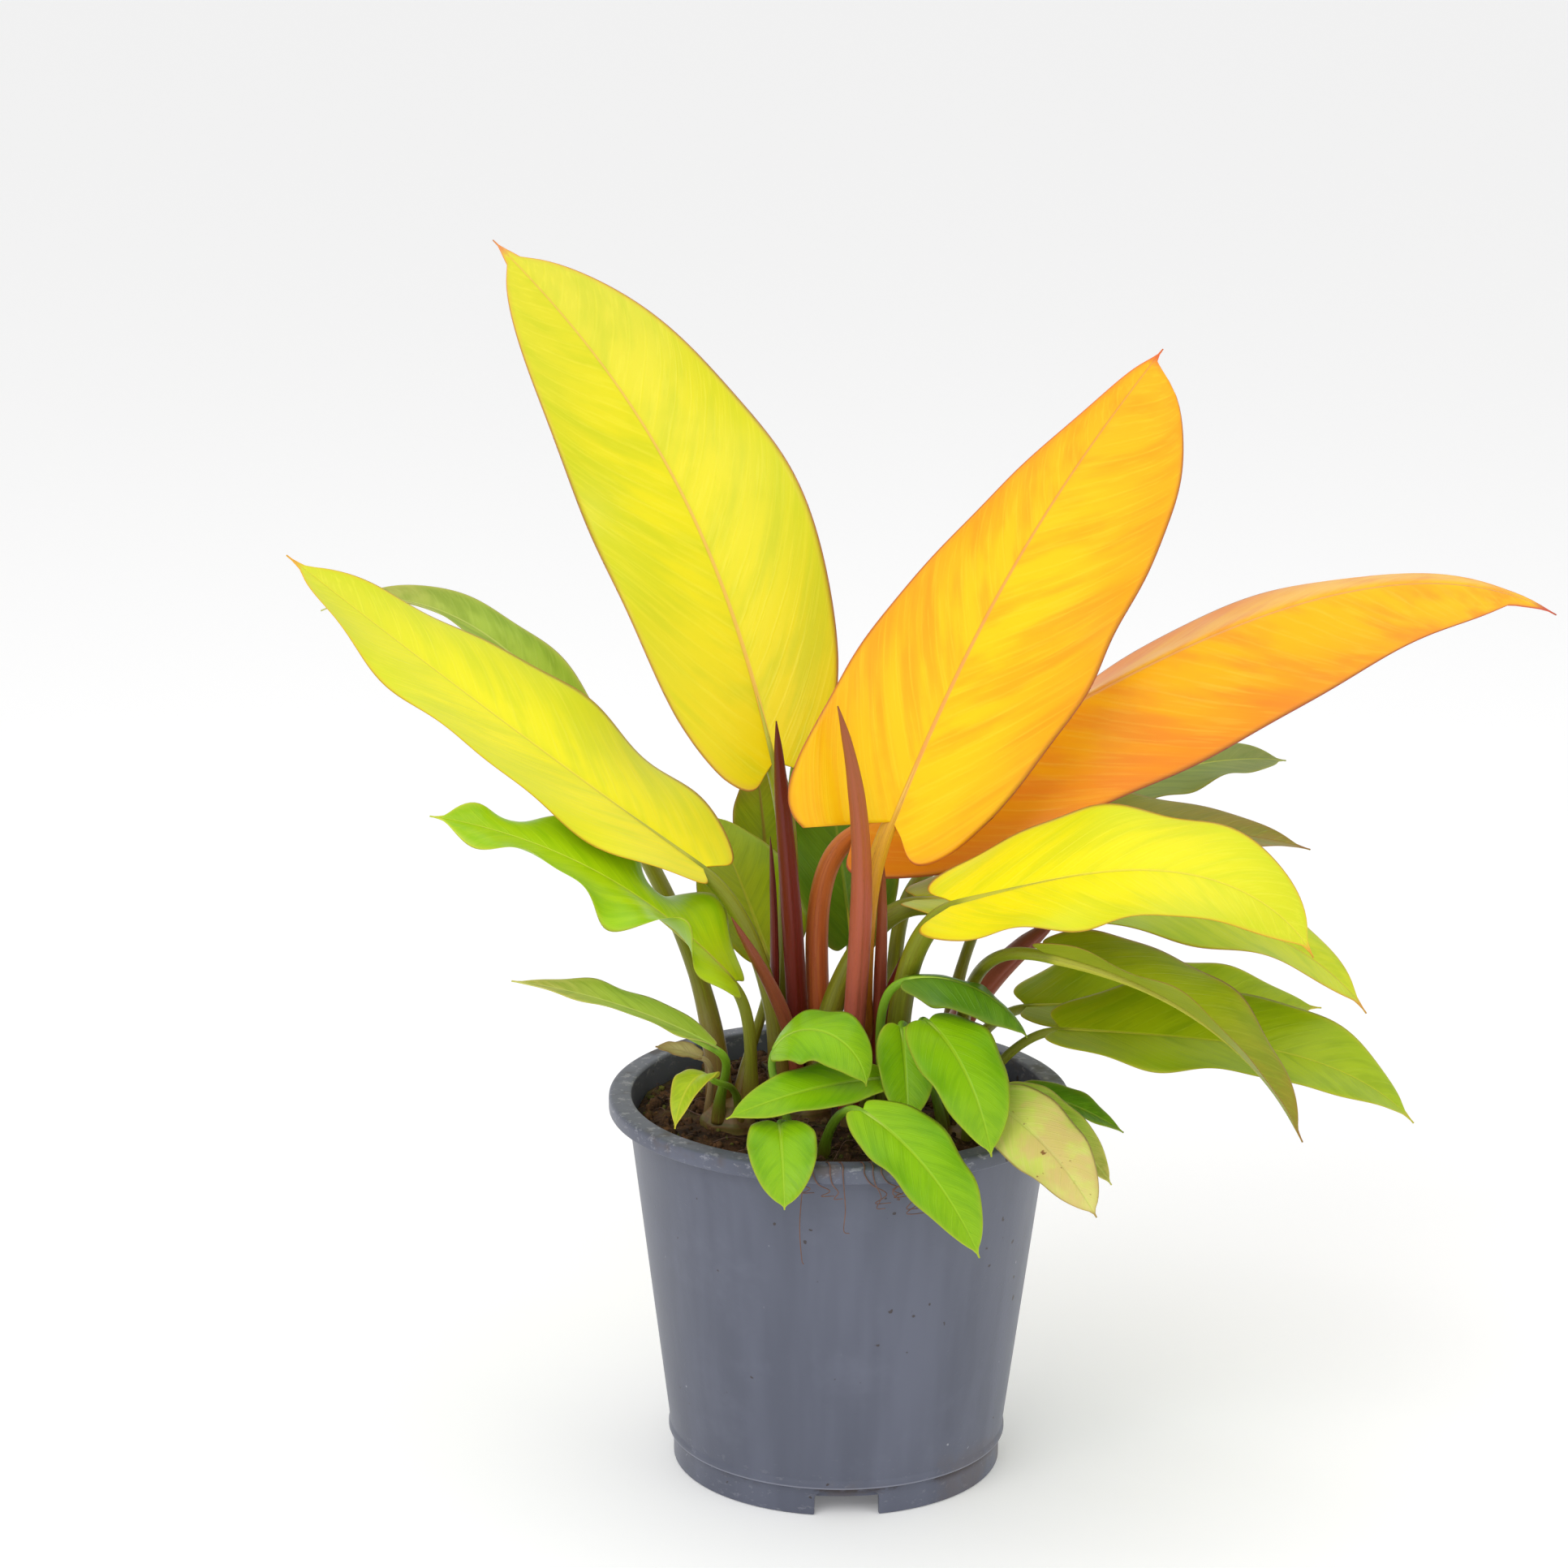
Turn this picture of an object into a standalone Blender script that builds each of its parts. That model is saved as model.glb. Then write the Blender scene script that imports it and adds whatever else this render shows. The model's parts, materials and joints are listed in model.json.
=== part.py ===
"""A young philodendron growing in a round nursery pot.

Metres, +Z up. The pot's front is -Y and the plant's tall leaves lean back and to both
sides. Everything hangs from one empty, which is moved at the end so that the middle of
the whole object's underside is at the origin.
"""

import math
from dataclasses import dataclass

import bmesh
import bpy
import numpy as np
from mathutils import Vector

MM = 0.001

# Driving dimensions of the pot
POT_HEIGHT = 142 * MM
RIM_RADIUS = 85 * MM
RIM_OVERHANG = 6.5 * MM
RIM_DEPTH = 6 * MM
WALL = 1.8 * MM
FOOT_RADIUS = 61 * MM
FOOT_RING_HEIGHT = 11 * MM
FOOT_RING_INSET = 1.2 * MM
FLOOR_HEIGHT = 7 * MM
NOTCH_COUNT = 3
NOTCH_WIDTH = 24 * MM
NOTCH_HEIGHT = 9 * MM
NOTCH_BEARING = -86
DRAIN_COUNT = 6
DRAIN_RADIUS = 5 * MM
DRAIN_CIRCLE = 38 * MM
EDGE_ROUND = 1 * MM

# Driving dimensions of the soil and the plant
SOIL_DROP = 11 * MM
SOIL_UNEVENNESS = 1.5 * MM
CROWN_SINK = 9 * MM
LEAF_THICKNESS = 1.1 * MM
LEAF_END_WIDTH = 1.6 * MM
CLEARANCE = 0.3 * MM

# Sizes that follow from the ones above
BODY_TOP_RADIUS = RIM_RADIUS - RIM_OVERHANG
BODY_FOOT_RADIUS = FOOT_RADIUS + FOOT_RING_INSET
SOIL_HEIGHT = POT_HEIGHT - SOIL_DROP

# The plant's own measures are for a pot of this rim radius. A wider pot holds a plant that
# is bigger in proportion.
PLANTED_RIM_RADIUS = 85 * MM
GROWN_MM = RIM_RADIUS / PLANTED_RIM_RADIUS * MM

# A stalk's foot is no thicker than this, so that the stalks on one crown stay apart
STALK_FOOT_RADIUS = 3 * GROWN_MM

# How finely the pieces are divided
POT_SIDES = 48
ROUND_SIDES = 16
STALK_SIDES = 6
STALK_RINGS = 7
SPEAR_RINGS = 12
BIG_LEAF = 90

UP = np.array([0.0, 0.0, 1.0])


@dataclass
class Crown:
    """A stub of stem set in the soil, whose flat top carries a ring of stalks. Millimetres."""

    name: str
    place: tuple
    radius: float
    rise: float
    ring: float


@dataclass
class Leaf:
    """One leaf on its stalk. Millimetres and degrees.

    The stalk stands on its crown, at a bearing round the crown's ring, and ends at the
    joint, whose third number is its height over the pot's rim. From the joint the midrib
    runs along a heading (0 is +X, 90 is +Y), and its rise goes from the first angle to the
    second. A bend over 1 keeps the first angle for longer. The roll turns the blade about
    its midrib, and the fold lifts both halves. The bow shifts the middle of the midrib
    sideways, as a share of the length. Seen from the joint with the top up, the left half
    may have another shape, and another fold at its base and at its tip.
    """

    name: str
    colour: str
    crown: str
    bearing: float
    joint: tuple
    heading: float
    rise: tuple
    roll: tuple
    length: float
    width: float
    stalk: float
    fold: float = 12
    bend: float = 1
    lobe: float = 0.06
    bow: float = 0
    shape: tuple = ("oval", "oval")
    left_fold: tuple = None


@dataclass
class Spear:
    """A rolled new leaf or an old sheath: a pointed rod from its crown to its tip."""

    name: str
    colour: str
    crown: str
    bearing: float
    tip: tuple
    lean: tuple
    radius: float


# How a blade tapers toward its base and toward its tip
SHAPES = {"oval": (0.5, 0.7), "lance": (0.75, 0.95), "early": (0.15, 1.1),
          "blunt": (0.5, 0.45), "late": (1.3, 0.9)}
BODY_LENGTH = 0.97
TAIL_WIDTH = 0.055
LOBE_WIDTH = 0.22

# How a blade's rows fan out from the midrib, and how they crowd toward the joint
FAN_POWER = 1.3
CROWDING_POWER = 1.35

# Where the stalk runs on under the midrib, and how thick it still is there
KEEL_REACH = (0.0, 0.07, 0.15)
KEEL_THICKNESS = (0.85, 0.6, 0.35)

# The soil's bumps, in radians to the metre across and along
BUMP_WAVES = (110, 90)

CROWNS = {
    "middle": Crown("crown_middle", (-15, -2), 13, 16, 9),
    "right": Crown("crown_right", (12, -16), 12, 16, 8.5),
    "left": Crown("crown_left", (-40, -20), 11, 13, 7.7),
    "back": Crown("crown_back", (38, 14), 11, 13, 7.5),
    "front": Crown("crown_front", (-10, -48), 9, 5, 5.6),
    "far_right": Crown("crown_far_right", (44, -26), 10, 6, 6.6),
}
ON_AXIS = None

LEAVES = [
    Leaf("leaf_tall_left", "yellow", "middle", 135, (-25, 10, 122),
         139, (62, 40), (-35, -40), 229, 78, 4.0, bow=0.04),
    Leaf("leaf_orange_centre", "orange", "right", 115, (18, -20, 108),
         42, (56, 44), (63, 68), 206, 90, 3.6, lobe=0.09, bow=-0.02, shape=("early", "blunt")),
    Leaf("leaf_orange_right", "orange", "middle", 25, (4, 12, 96),
         20, (26, -30), (35, 42), 304, 85, 4.4, fold=-12, bend=3,
         shape=("late", "oval"), left_fold=(-78, -60)),
    Leaf("leaf_yellow_left", "yellow", "middle", 225, (-50, -7, 87),
         160, (30, 33), (-8, -8), 195, 73, 3.2, fold=8),
    Leaf("leaf_arching_back", "green", "left", 120, (-91, 60, 106),
         150, (54, -26), (-5, -5), 150, 28, 3.4, fold=22, bend=1.3),
    Leaf("leaf_wavy_left", "green", "left", 0, (-38, -26, 50),
         -175, (50, 10), (-8, -16), 128, 52, 2.4, fold=8),
    Leaf("leaf_green_back_left", "green", "left", 60, (-27, 26, 43),
         118, (48, 35), (0, 0), 66, 42, 2.0),
    Leaf("leaf_olive_back", "olive", "middle", 90, (-29, 75, 66),
         110, (80, 60), (0, 0), 38, 26, 1.8),
    Leaf("leaf_green_back", "green", "middle", 64, (4, 30, 48),
         105, (60, 50), (0, 0), 95, 42, 2.2),
    Leaf("leaf_yellow_front", "yellow", "right", 340, (40, -40, 84),
         -20, (20, -60), (25, 25), 142, 64, 4.4, fold=6, bend=2.5, lobe=0.12),
    Leaf("leaf_lime_right", "lime", "middle", 315, (28, 0, 74),
         -6, (4, -55), (5, 20), 175, 60, 4.4, fold=8, bend=2.5),
    Leaf("leaf_olive_right", "olive", "right", 25, (38, 46, 76),
         12, (10, -18), (0, 10), 145, 56, 3.0, bend=1.5),
    Leaf("leaf_grey_back_right", "grey", "back", 80, (88, 105, 80),
         25, (22, -10), (15, 15), 98, 44, 2.2),
    Leaf("leaf_folded_right", "olive", "back", 320, (72, -62, 73),
         -25, (-5, -62), (-5, -5), 116, 40, 2.6, fold=30, bend=1.3),
    Leaf("leaf_low_right", "green", "far_right", 60, (79, -28, 34),
         -10, (0, -48), (18, 18), 134, 53, 1.9, bend=3),
    Leaf("leaf_green_back_right", "green", "back", 20, (70, 40, 21),
         10, (0, -6), (20, 20), 115, 48, 2.2),
    Leaf("leaf_narrow_left", "pale", "left", 240, (-44, -50, 33),
         -164, (32, 12), (-10, -10), 80, 24, 1.7, shape=("lance", "lance")),
    Leaf("leaf_drooping_left", "green", "left", 300, (-45, -60, 25),
         -115, (35, -75), (0, 0), 36, 13, 1.3, shape=("lance", "lance")),
    Leaf("leaf_curled_front", "baby", "front", 200, (-24, -50, 32),
         -25, (60, -85), (25, 25), 50, 29, 1.6, fold=-10),
    Leaf("leaf_small_front_left", "baby", "right", 250, (16, -50, 22),
         -151, (5, -15), (-30, -30), 64, 21, 1.6, fold=6),
    Leaf("leaf_hanging_front", "baby", "front", 260, (-21, -72, 12),
         -85, (-15, -65), (0, 0), 36, 25, 1.4),
    Leaf("leaf_front", "baby", "front", 320, (8, -74, 18),
         -42, (-15, -58), (15, 10), 70, 31, 1.8, fold=6),
    Leaf("leaf_small_centre", "baby", "far_right", 200, (22, -38, 37),
         -84, (-35, -70), (-8, -8), 38, 22, 1.5),
    Leaf("leaf_front_right", "baby", "far_right", 150, (31, -45, 42),
         -60, (-10, -70), (10, 5), 61, 31, 1.7, fold=4),
    Leaf("leaf_dying_right", "pale", "far_right", 290, (52, -55, 17),
         -45, (-12, -48), (25, 25), 63, 29, 1.6, fold=4),
    Leaf("leaf_pale_right", "pale", "far_right", 330, (60, -42, 15),
         -33, (-15, -48), (25, 25), 52, 18, 1.4),
    Leaf("leaf_small_far_right", "baby", "far_right", 15, (64, -26, 10),
         -12, (-5, -32), (20, 20), 42, 15, 1.4, shape=("lance", "lance")),
    Leaf("leaf_creased_front", "baby", "right", 295, (23, -37, 55),
         -13, (15, -60), (15, 15), 52, 24, 1.8, fold=-30),
    Leaf("scale_dry", "husk", "left", 180, (-50, -28, 22),
         175, (15, 5), (-20, -20), 17, 9, 1.2, fold=15),
]

SPEARS = [
    Spear("spear_dark", "red", "middle", ON_AXIS, (-24, -8, 142), (120, 80), 4.0),
    Spear("spear_pink", "red", "right", 205, (-2, -38, 155), (165, 72), 4.2),
    Spear("spear_thin", "red", "right", 76, (15, -14, 92), (90, 88), 2.6),
    Spear("sheath_left", "red", "middle", 270, (-39, -40, 78), (205, 60), 3.6),
    Spear("sheath_right", "red", "right", ON_AXIS, (31, -13, 68), (5, 55), 3.2),
    Spear("sheath_maroon", "red", "middle", 180, (-26, -4, 98), (150, 85), 2.4),
    Spear("sheath_glossy", "red", "back", ON_AXIS, (78, -6, 68), (-45, 40), 6.2),
]

COLOURS = {
    "pot": (0.13, 0.13, 0.16),
    "soil": (0.05, 0.025, 0.012),
    "crown": (0.25, 0.22, 0.05),
    "yellow": (0.75, 0.70, 0.05),
    "orange": (0.95, 0.50, 0.03),
    "lime": (0.35, 0.55, 0.03),
    "green": (0.16, 0.34, 0.02),
    "olive": (0.22, 0.26, 0.03),
    "grey": (0.16, 0.22, 0.07),
    "baby": (0.20, 0.50, 0.02),
    "pale": (0.55, 0.60, 0.20),
    "red": (0.40, 0.10, 0.05),
    "husk": (0.50, 0.42, 0.22),
}
ROUGHNESS = {"pot": 0.45, "soil": 0.95, "husk": 0.8}
LEAF_ROUGHNESS = 0.35


def material(colour):
    """One Principled material for each colour name, made once and shared."""
    name = f"{colour}_material"
    found = bpy.data.materials.get(name)
    if found:
        return found
    made = bpy.data.materials.new(name)
    made.use_nodes = True
    shader = made.node_tree.nodes["Principled BSDF"]
    shader.inputs["Base Color"].default_value = (*COLOURS[colour], 1)
    shader.inputs["Roughness"].default_value = ROUGHNESS.get(colour, LEAF_ROUGHNESS)
    shader.inputs["Metallic"].default_value = 0
    return made


def solid(name, points, faces, place, colour):
    """An object at a place, from points given relative to that place."""
    mesh = bpy.data.meshes.new(name)
    mesh.from_pydata([tuple(point) for point in points], [], faces)
    builder = bmesh.new()
    builder.from_mesh(mesh)
    bmesh.ops.recalc_face_normals(builder, faces=builder.faces)
    builder.to_mesh(mesh)
    builder.free()
    mesh.shade_smooth()
    mesh.set_sharp_from_angle(angle=math.radians(35))
    mesh.materials.append(material(colour))
    made = bpy.data.objects.new(name, mesh)
    bpy.context.scene.collection.objects.link(made)
    made.location = Vector(place)
    made.parent = plant_root
    return made


def cut_or_join(target, other, operation, solver="EXACT"):
    """Leave a live Boolean on the target and hide the other object as its guide."""
    other.hide_render = True
    other.display_type = "WIRE"
    change = target.modifiers.new(other.name, "BOOLEAN")
    change.operation = operation
    change.object = other
    change.solver = solver


def ring_points(radius, height, sides):
    angles = np.arange(sides) * 2 * math.pi / sides
    heights = np.full(sides, height)
    return np.stack([radius * np.cos(angles), radius * np.sin(angles), heights], axis=1)


def turned(profile, sides):
    """Turn a closed profile, whose first and last points are on the axis, about Z.

    Each profile point is (radius, height). The two points on the axis become poles.
    """
    rings = profile[1:-1]
    points = [(0, 0, profile[0][1])]
    for radius, height in rings:
        points.extend(ring_points(radius, height, sides))
    points.append((0, 0, profile[-1][1]))
    last = len(points) - 1
    faces = []
    for side in range(sides):
        after = (side + 1) % sides
        faces.append((0, 1 + side, 1 + after))
        for ring in range(len(rings) - 1):
            low = 1 + ring * sides
            high = low + sides
            faces.append((low + side, high + side, high + after, low + after))
        top = 1 + (len(rings) - 1) * sides
        faces.append((last, top + after, top + side))
    return points, faces


def tube(path, radii, sides):
    """A closed tube along a path, with its rings carried along without twisting."""
    path = np.asarray(path)
    tangents = np.gradient(path, axis=0)
    tangents[0] = UP
    tangents /= np.linalg.norm(tangents, axis=1)[:, None]
    across = np.array([1.0, 0.0, 0.0])
    angles = np.arange(sides) * 2 * math.pi / sides
    points = []
    for centre, tangent, radius in zip(path, tangents, radii):
        across = across - tangent * (across @ tangent)
        across /= np.linalg.norm(across)
        other = np.cross(tangent, across)
        circle = np.outer(np.cos(angles), across) + np.outer(np.sin(angles), other)
        points.extend(centre + radius * circle)
    faces = [tuple(range(sides)), tuple(range(len(points) - sides, len(points)))]
    for ring in range(len(path) - 1):
        low = ring * sides
        high = low + sides
        for side in range(sides):
            after = (side + 1) % sides
            faces.append((low + side, low + after, high + after, high + side))
    return points, faces


def sheet(upper, lower):
    """Join two grids of points, one above the other, into a closed sheet."""
    rows, columns = upper.shape[:2]
    count = rows * columns
    faces = []
    for row in range(rows - 1):
        for column in range(columns - 1):
            here = row * columns + column
            quad = (here, here + 1, here + columns + 1, here + columns)
            faces.append(quad)
            faces.append(tuple(count + corner for corner in reversed(quad)))
    right = [row * columns + columns - 1 for row in range(rows)]
    left = [row * columns for row in range(rows)]
    edge = list(range(columns)) + right[1:] + list(range(count - 2, count - columns - 1, -1))
    edge += left[-2:0:-1]
    for here, after in zip(edge, edge[1:] + edge[:1]):
        faces.append((here, after, count + after, count + here))
    return np.concatenate([upper.reshape(-1, 3), lower.reshape(-1, 3)]), faces


def bezier(start, start_pull, end_pull, end, steps):
    share = np.linspace(0, 1, steps)[:, None]
    rest = 1 - share
    first = rest ** 3 * start + 3 * rest ** 2 * share * start_pull
    return first + 3 * rest * share ** 2 * end_pull + share ** 3 * end


# Pot and soil

def inner_radius(height):
    """The radius of the pot's inner wall at a height."""
    share = (height - FOOT_RING_HEIGHT) / (POT_HEIGHT - FOOT_RING_HEIGHT)
    outer = BODY_FOOT_RADIUS + (BODY_TOP_RADIUS - BODY_FOOT_RADIUS) * share
    return outer - WALL


def pot_profile():
    """The pot's section: floor, wall, rolled-over rim and foot ring, all one wall thick."""
    floor_top = FLOOR_HEIGHT + WALL
    skirt_inside = RIM_RADIUS - WALL
    under_rim = POT_HEIGHT - RIM_DEPTH
    ring_inside = FOOT_RADIUS - WALL
    return [
        (0, floor_top),
        (inner_radius(floor_top) - EDGE_ROUND, floor_top),
        (inner_radius(floor_top + EDGE_ROUND), floor_top + EDGE_ROUND),
        (inner_radius(POT_HEIGHT - EDGE_ROUND), POT_HEIGHT - EDGE_ROUND),
        (inner_radius(POT_HEIGHT) + EDGE_ROUND, POT_HEIGHT),
        (RIM_RADIUS - 2 * EDGE_ROUND, POT_HEIGHT),
        (RIM_RADIUS - EDGE_ROUND / 2, POT_HEIGHT - EDGE_ROUND / 2),
        (RIM_RADIUS, POT_HEIGHT - 2 * EDGE_ROUND),
        (RIM_RADIUS, under_rim + EDGE_ROUND / 2),
        (RIM_RADIUS - EDGE_ROUND / 2, under_rim),
        (skirt_inside, under_rim),
        (skirt_inside, POT_HEIGHT - WALL),
        (BODY_TOP_RADIUS, POT_HEIGHT - WALL),
        (BODY_FOOT_RADIUS, FOOT_RING_HEIGHT + EDGE_ROUND),
        (BODY_FOOT_RADIUS - EDGE_ROUND / 2, FOOT_RING_HEIGHT),
        (FOOT_RADIUS, FOOT_RING_HEIGHT - EDGE_ROUND / 2),
        (FOOT_RADIUS, EDGE_ROUND),
        (FOOT_RADIUS - EDGE_ROUND / 3, 0),
        (ring_inside, 0),
        (ring_inside, FLOOR_HEIGHT),
        (0, FLOOR_HEIGHT),
    ]


def notch_cutter():
    """Arched notches through the foot ring, as one object of separate blocks."""
    inner = FOOT_RADIUS - 3 * WALL
    outer = FOOT_RADIUS + 2 * WALL
    half = NOTCH_WIDTH / 2
    corner = NOTCH_HEIGHT / 3
    arch = [
        (-half, -WALL), (half, -WALL), (half, NOTCH_HEIGHT - corner),
        (half - corner, NOTCH_HEIGHT), (corner - half, NOTCH_HEIGHT),
        (-half, NOTCH_HEIGHT - corner),
    ]
    sides = len(arch)
    points = []
    faces = []
    for notch in range(NOTCH_COUNT):
        turn = math.radians(NOTCH_BEARING + 360 * notch / NOTCH_COUNT)
        radial = np.array([math.cos(turn), math.sin(turn), 0])
        sideways = np.array([-math.sin(turn), math.cos(turn), 0])
        base = len(points)
        for reach in (inner, outer):
            for side, height in arch:
                points.append(radial * reach + sideways * side + UP * height)
        faces.append(tuple(range(base, base + sides)))
        faces.append(tuple(range(base + sides, base + 2 * sides)))
        for side in range(sides):
            after = (side + 1) % sides
            faces.append((base + side, base + after, base + sides + after, base + sides + side))
    return solid("foot_notches", points, faces, (0, 0, 0), "pot")


def drain_cutter():
    """Drain holes through the floor: one in the middle and a ring round it."""
    bottom = FLOOR_HEIGHT - WALL
    top = FLOOR_HEIGHT + 2 * WALL
    profile = [(0, bottom), (DRAIN_RADIUS, bottom), (DRAIN_RADIUS, top), (0, top)]
    hole_points, hole_faces = turned(profile, ROUND_SIDES)
    centres = [np.zeros(3)]
    for hole in range(DRAIN_COUNT):
        turn = 2 * math.pi * hole / DRAIN_COUNT
        centres.append(DRAIN_CIRCLE * np.array([math.cos(turn), math.sin(turn), 0]))
    points = []
    faces = []
    for centre in centres:
        base = len(points)
        points.extend(np.asarray(hole_points) + centre)
        faces.extend(tuple(base + corner for corner in face) for face in hole_faces)
    return solid("floor_drains", points, faces, (0, 0, 0), "pot")


def make_pot():
    points, faces = turned(pot_profile(), POT_SIDES)
    pot = solid("pot", points, faces, (0, 0, 0), "pot")
    cut_or_join(pot, notch_cutter(), "DIFFERENCE")
    cut_or_join(pot, drain_cutter(), "DIFFERENCE")


def make_soil():
    """Soil that fills the pot to just under the rim, uneven on top, with a socket per crown."""
    bottom = FLOOR_HEIGHT + WALL + CLEARANCE
    bottom_radius = inner_radius(bottom) - EDGE_ROUND - CLEARANCE
    edge_radius = inner_radius(SOIL_HEIGHT) - CLEARANCE
    profile = [(0, bottom), (bottom_radius, bottom), (edge_radius, SOIL_HEIGHT)]
    for share in (0.85, 0.65, 0.45, 0.25):
        profile.append((edge_radius * share, SOIL_HEIGHT))
    profile.append((0, SOIL_HEIGHT))
    points, faces = turned(profile, POT_SIDES // 2)
    points = np.asarray(points)
    top = points[:, 2] > SOIL_HEIGHT - CLEARANCE
    inside = np.hypot(points[:, 0], points[:, 1]) < edge_radius - CLEARANCE
    bumps = np.sin(points[:, 0] * BUMP_WAVES[0]) * np.cos(points[:, 1] * BUMP_WAVES[1])
    points[:, 2] += np.where(top & inside, SOIL_UNEVENNESS * bumps, 0)
    soil = solid("soil", points, faces, (0, 0, 0), "soil")
    for crown in CROWNS.values():
        cut_or_join(soil, crown_solid(crown, f"{crown.name}_socket", CLEARANCE), "DIFFERENCE")


# Plant

def crown_top(crown):
    return SOIL_HEIGHT + crown.rise * GROWN_MM


def crown_solid(crown, name, grow):
    """A stub that bulges at the soil and has a flat top; grow makes it larger all round."""
    radius = crown.radius * GROWN_MM + grow
    bottom = SOIL_HEIGHT - CROWN_SINK - grow
    top = crown_top(crown) + grow
    profile = [
        (0, bottom), (0.7 * radius, bottom), (radius, SOIL_HEIGHT - CROWN_SINK / 2),
        (radius, top - 2 * EDGE_ROUND), (radius - EDGE_ROUND, top), (0, top),
    ]
    points, faces = turned(profile, ROUND_SIDES)
    x, y = crown.place
    return solid(name, points, faces, (x * GROWN_MM, y * GROWN_MM, 0), "crown")


def foot_of(crown_name, bearing):
    """Where a stalk stands on its crown, a clearance above the crown's flat top."""
    crown = CROWNS[crown_name]
    x, y = crown.place
    if bearing is not ON_AXIS:
        turn = math.radians(bearing)
        x += crown.ring * math.cos(turn)
        y += crown.ring * math.sin(turn)
    return np.array([x * GROWN_MM, y * GROWN_MM, crown_top(crown) + CLEARANCE])


def over_rim(place):
    """A point of the plant, given in grown millimetres with its height over the rim."""
    x, y, height = place
    return np.array([x * GROWN_MM, y * GROWN_MM, POT_HEIGHT + height * GROWN_MM])


def direction(heading, rise):
    heading, rise = math.radians(heading), math.radians(rise)
    flat = math.cos(rise)
    return np.array([flat * math.cos(heading), flat * math.sin(heading), math.sin(rise)])


class Midrib:
    """The blade's midrib as a curve with a side and a normal at each point.

    The direction turns from the first rise to the second along the length, and the point
    is the running sum of the direction. Side and normal are turned by the roll.
    """

    STEPS = 80

    def __init__(self, leaf):
        self.length = leaf.length * GROWN_MM
        self.share = np.linspace(0, 1, self.STEPS)
        rise = np.radians(leaf.rise[0] + np.diff(leaf.rise) * self.share ** leaf.bend)
        roll = np.radians(leaf.roll[0] + np.diff(leaf.roll) * self.share)[:, None]
        heading = math.radians(leaf.heading)
        flat = np.cos(rise)
        parts = [flat * math.cos(heading), flat * math.sin(heading), np.sin(rise)]
        self.tangent = np.stack(parts, axis=1)
        level = np.array([math.sin(heading), -math.cos(heading), 0])
        upright = np.cross(level, self.tangent)
        self.side = level * np.cos(roll) - upright * np.sin(roll)
        self.normal = upright * np.cos(roll) + level * np.sin(roll)
        between = (self.tangent[1:] + self.tangent[:-1]) / 2
        travel = np.cumsum(between, axis=0) * self.length / (self.STEPS - 1)
        bow = leaf.bow * self.length * np.sin(math.pi * self.share)[:, None]
        self.point = over_rim(leaf.joint) + np.vstack([np.zeros(3), travel]) + bow * self.side

    def read(self, values, distance):
        """Look a curve's values up at distances along the midrib."""
        share = np.clip(distance / self.length, 0, 1)
        columns = [np.interp(share, self.share, values[:, axis]) for axis in range(3)]
        return np.stack(columns, axis=-1)

    def place(self, distance, side, lift):
        """Points at a distance along, to the side of and above the midrib."""
        inside = np.clip(distance, 0, self.length)
        beyond = (distance - inside)[..., None]
        point = self.read(self.point, distance) + beyond * self.read(self.tangent, distance)
        point += side[..., None] * self.read(self.side, distance)
        return point + lift[..., None] * self.read(self.normal, distance)


def blade_outline(leaf, shape, share):
    """Distance along the midrib and half width of the margin, from the lobe to the tip.

    The half width is share^a * (1 - share)^b, scaled to 1 at its widest, with a thin tail
    at the tip. Near the midrib the margin returns from the lobe to the joint.
    """
    base, tip = SHAPES[shape]
    body = np.clip(share / BODY_LENGTH, 0, 1)
    widest = base / (base + tip)
    peak = widest ** base * (1 - widest) ** tip
    tail = TAIL_WIDTH * (1 - share) * np.minimum(1, 6 * share)
    half = np.hypot(body ** base * (1 - body) ** tip / peak, tail)
    back = leaf.lobe * np.exp(-(half / LOBE_WIDTH) ** 2) * (share < widest)
    along = ((1 + leaf.lobe) * share - leaf.lobe + back) * leaf.length * GROWN_MM
    half_width = half * leaf.width / 2 * GROWN_MM
    return along, np.maximum(half_width, LEAF_END_WIDTH / 2)


def blade_sheet(leaf, midrib):
    """Rows fan out from the midrib to the margin, and both halves lift by the fold."""
    big = leaf.length > BIG_LEAF
    rows = np.linspace(0, 1, 11 if big else 7)
    columns = np.linspace(-1, 1, 7 if big else 5)
    share = (rows ** 2 + rows) / 2
    on_left = columns[None, :] < 0
    halves = [blade_outline(leaf, shape, share) for shape in leaf.shape]
    (left_margin, left_width), (right_margin, right_width) = halves
    margin = np.where(on_left, left_margin[:, None], right_margin[:, None])
    half_width = np.where(on_left, left_width[:, None], right_width[:, None])
    outward = np.abs(columns)[None, :] ** FAN_POWER
    centre = rows ** CROWDING_POWER * midrib.length
    distance = centre[:, None] * (1 - outward) + margin * outward
    side = half_width * columns[None, :]
    left_fold = leaf.left_fold or (leaf.fold, leaf.fold)
    left_folds = np.interp(rows, [0, 1], left_fold)[:, None]
    fold = np.radians(np.where(on_left, left_folds, leaf.fold))
    reach = side * np.cos(fold)
    lift = np.abs(side) * np.sin(fold)
    upper = midrib.place(distance, reach, lift + LEAF_THICKNESS / 2)
    lower = midrib.place(distance, reach, lift - LEAF_THICKNESS / 2)
    return sheet(upper, lower)


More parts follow.
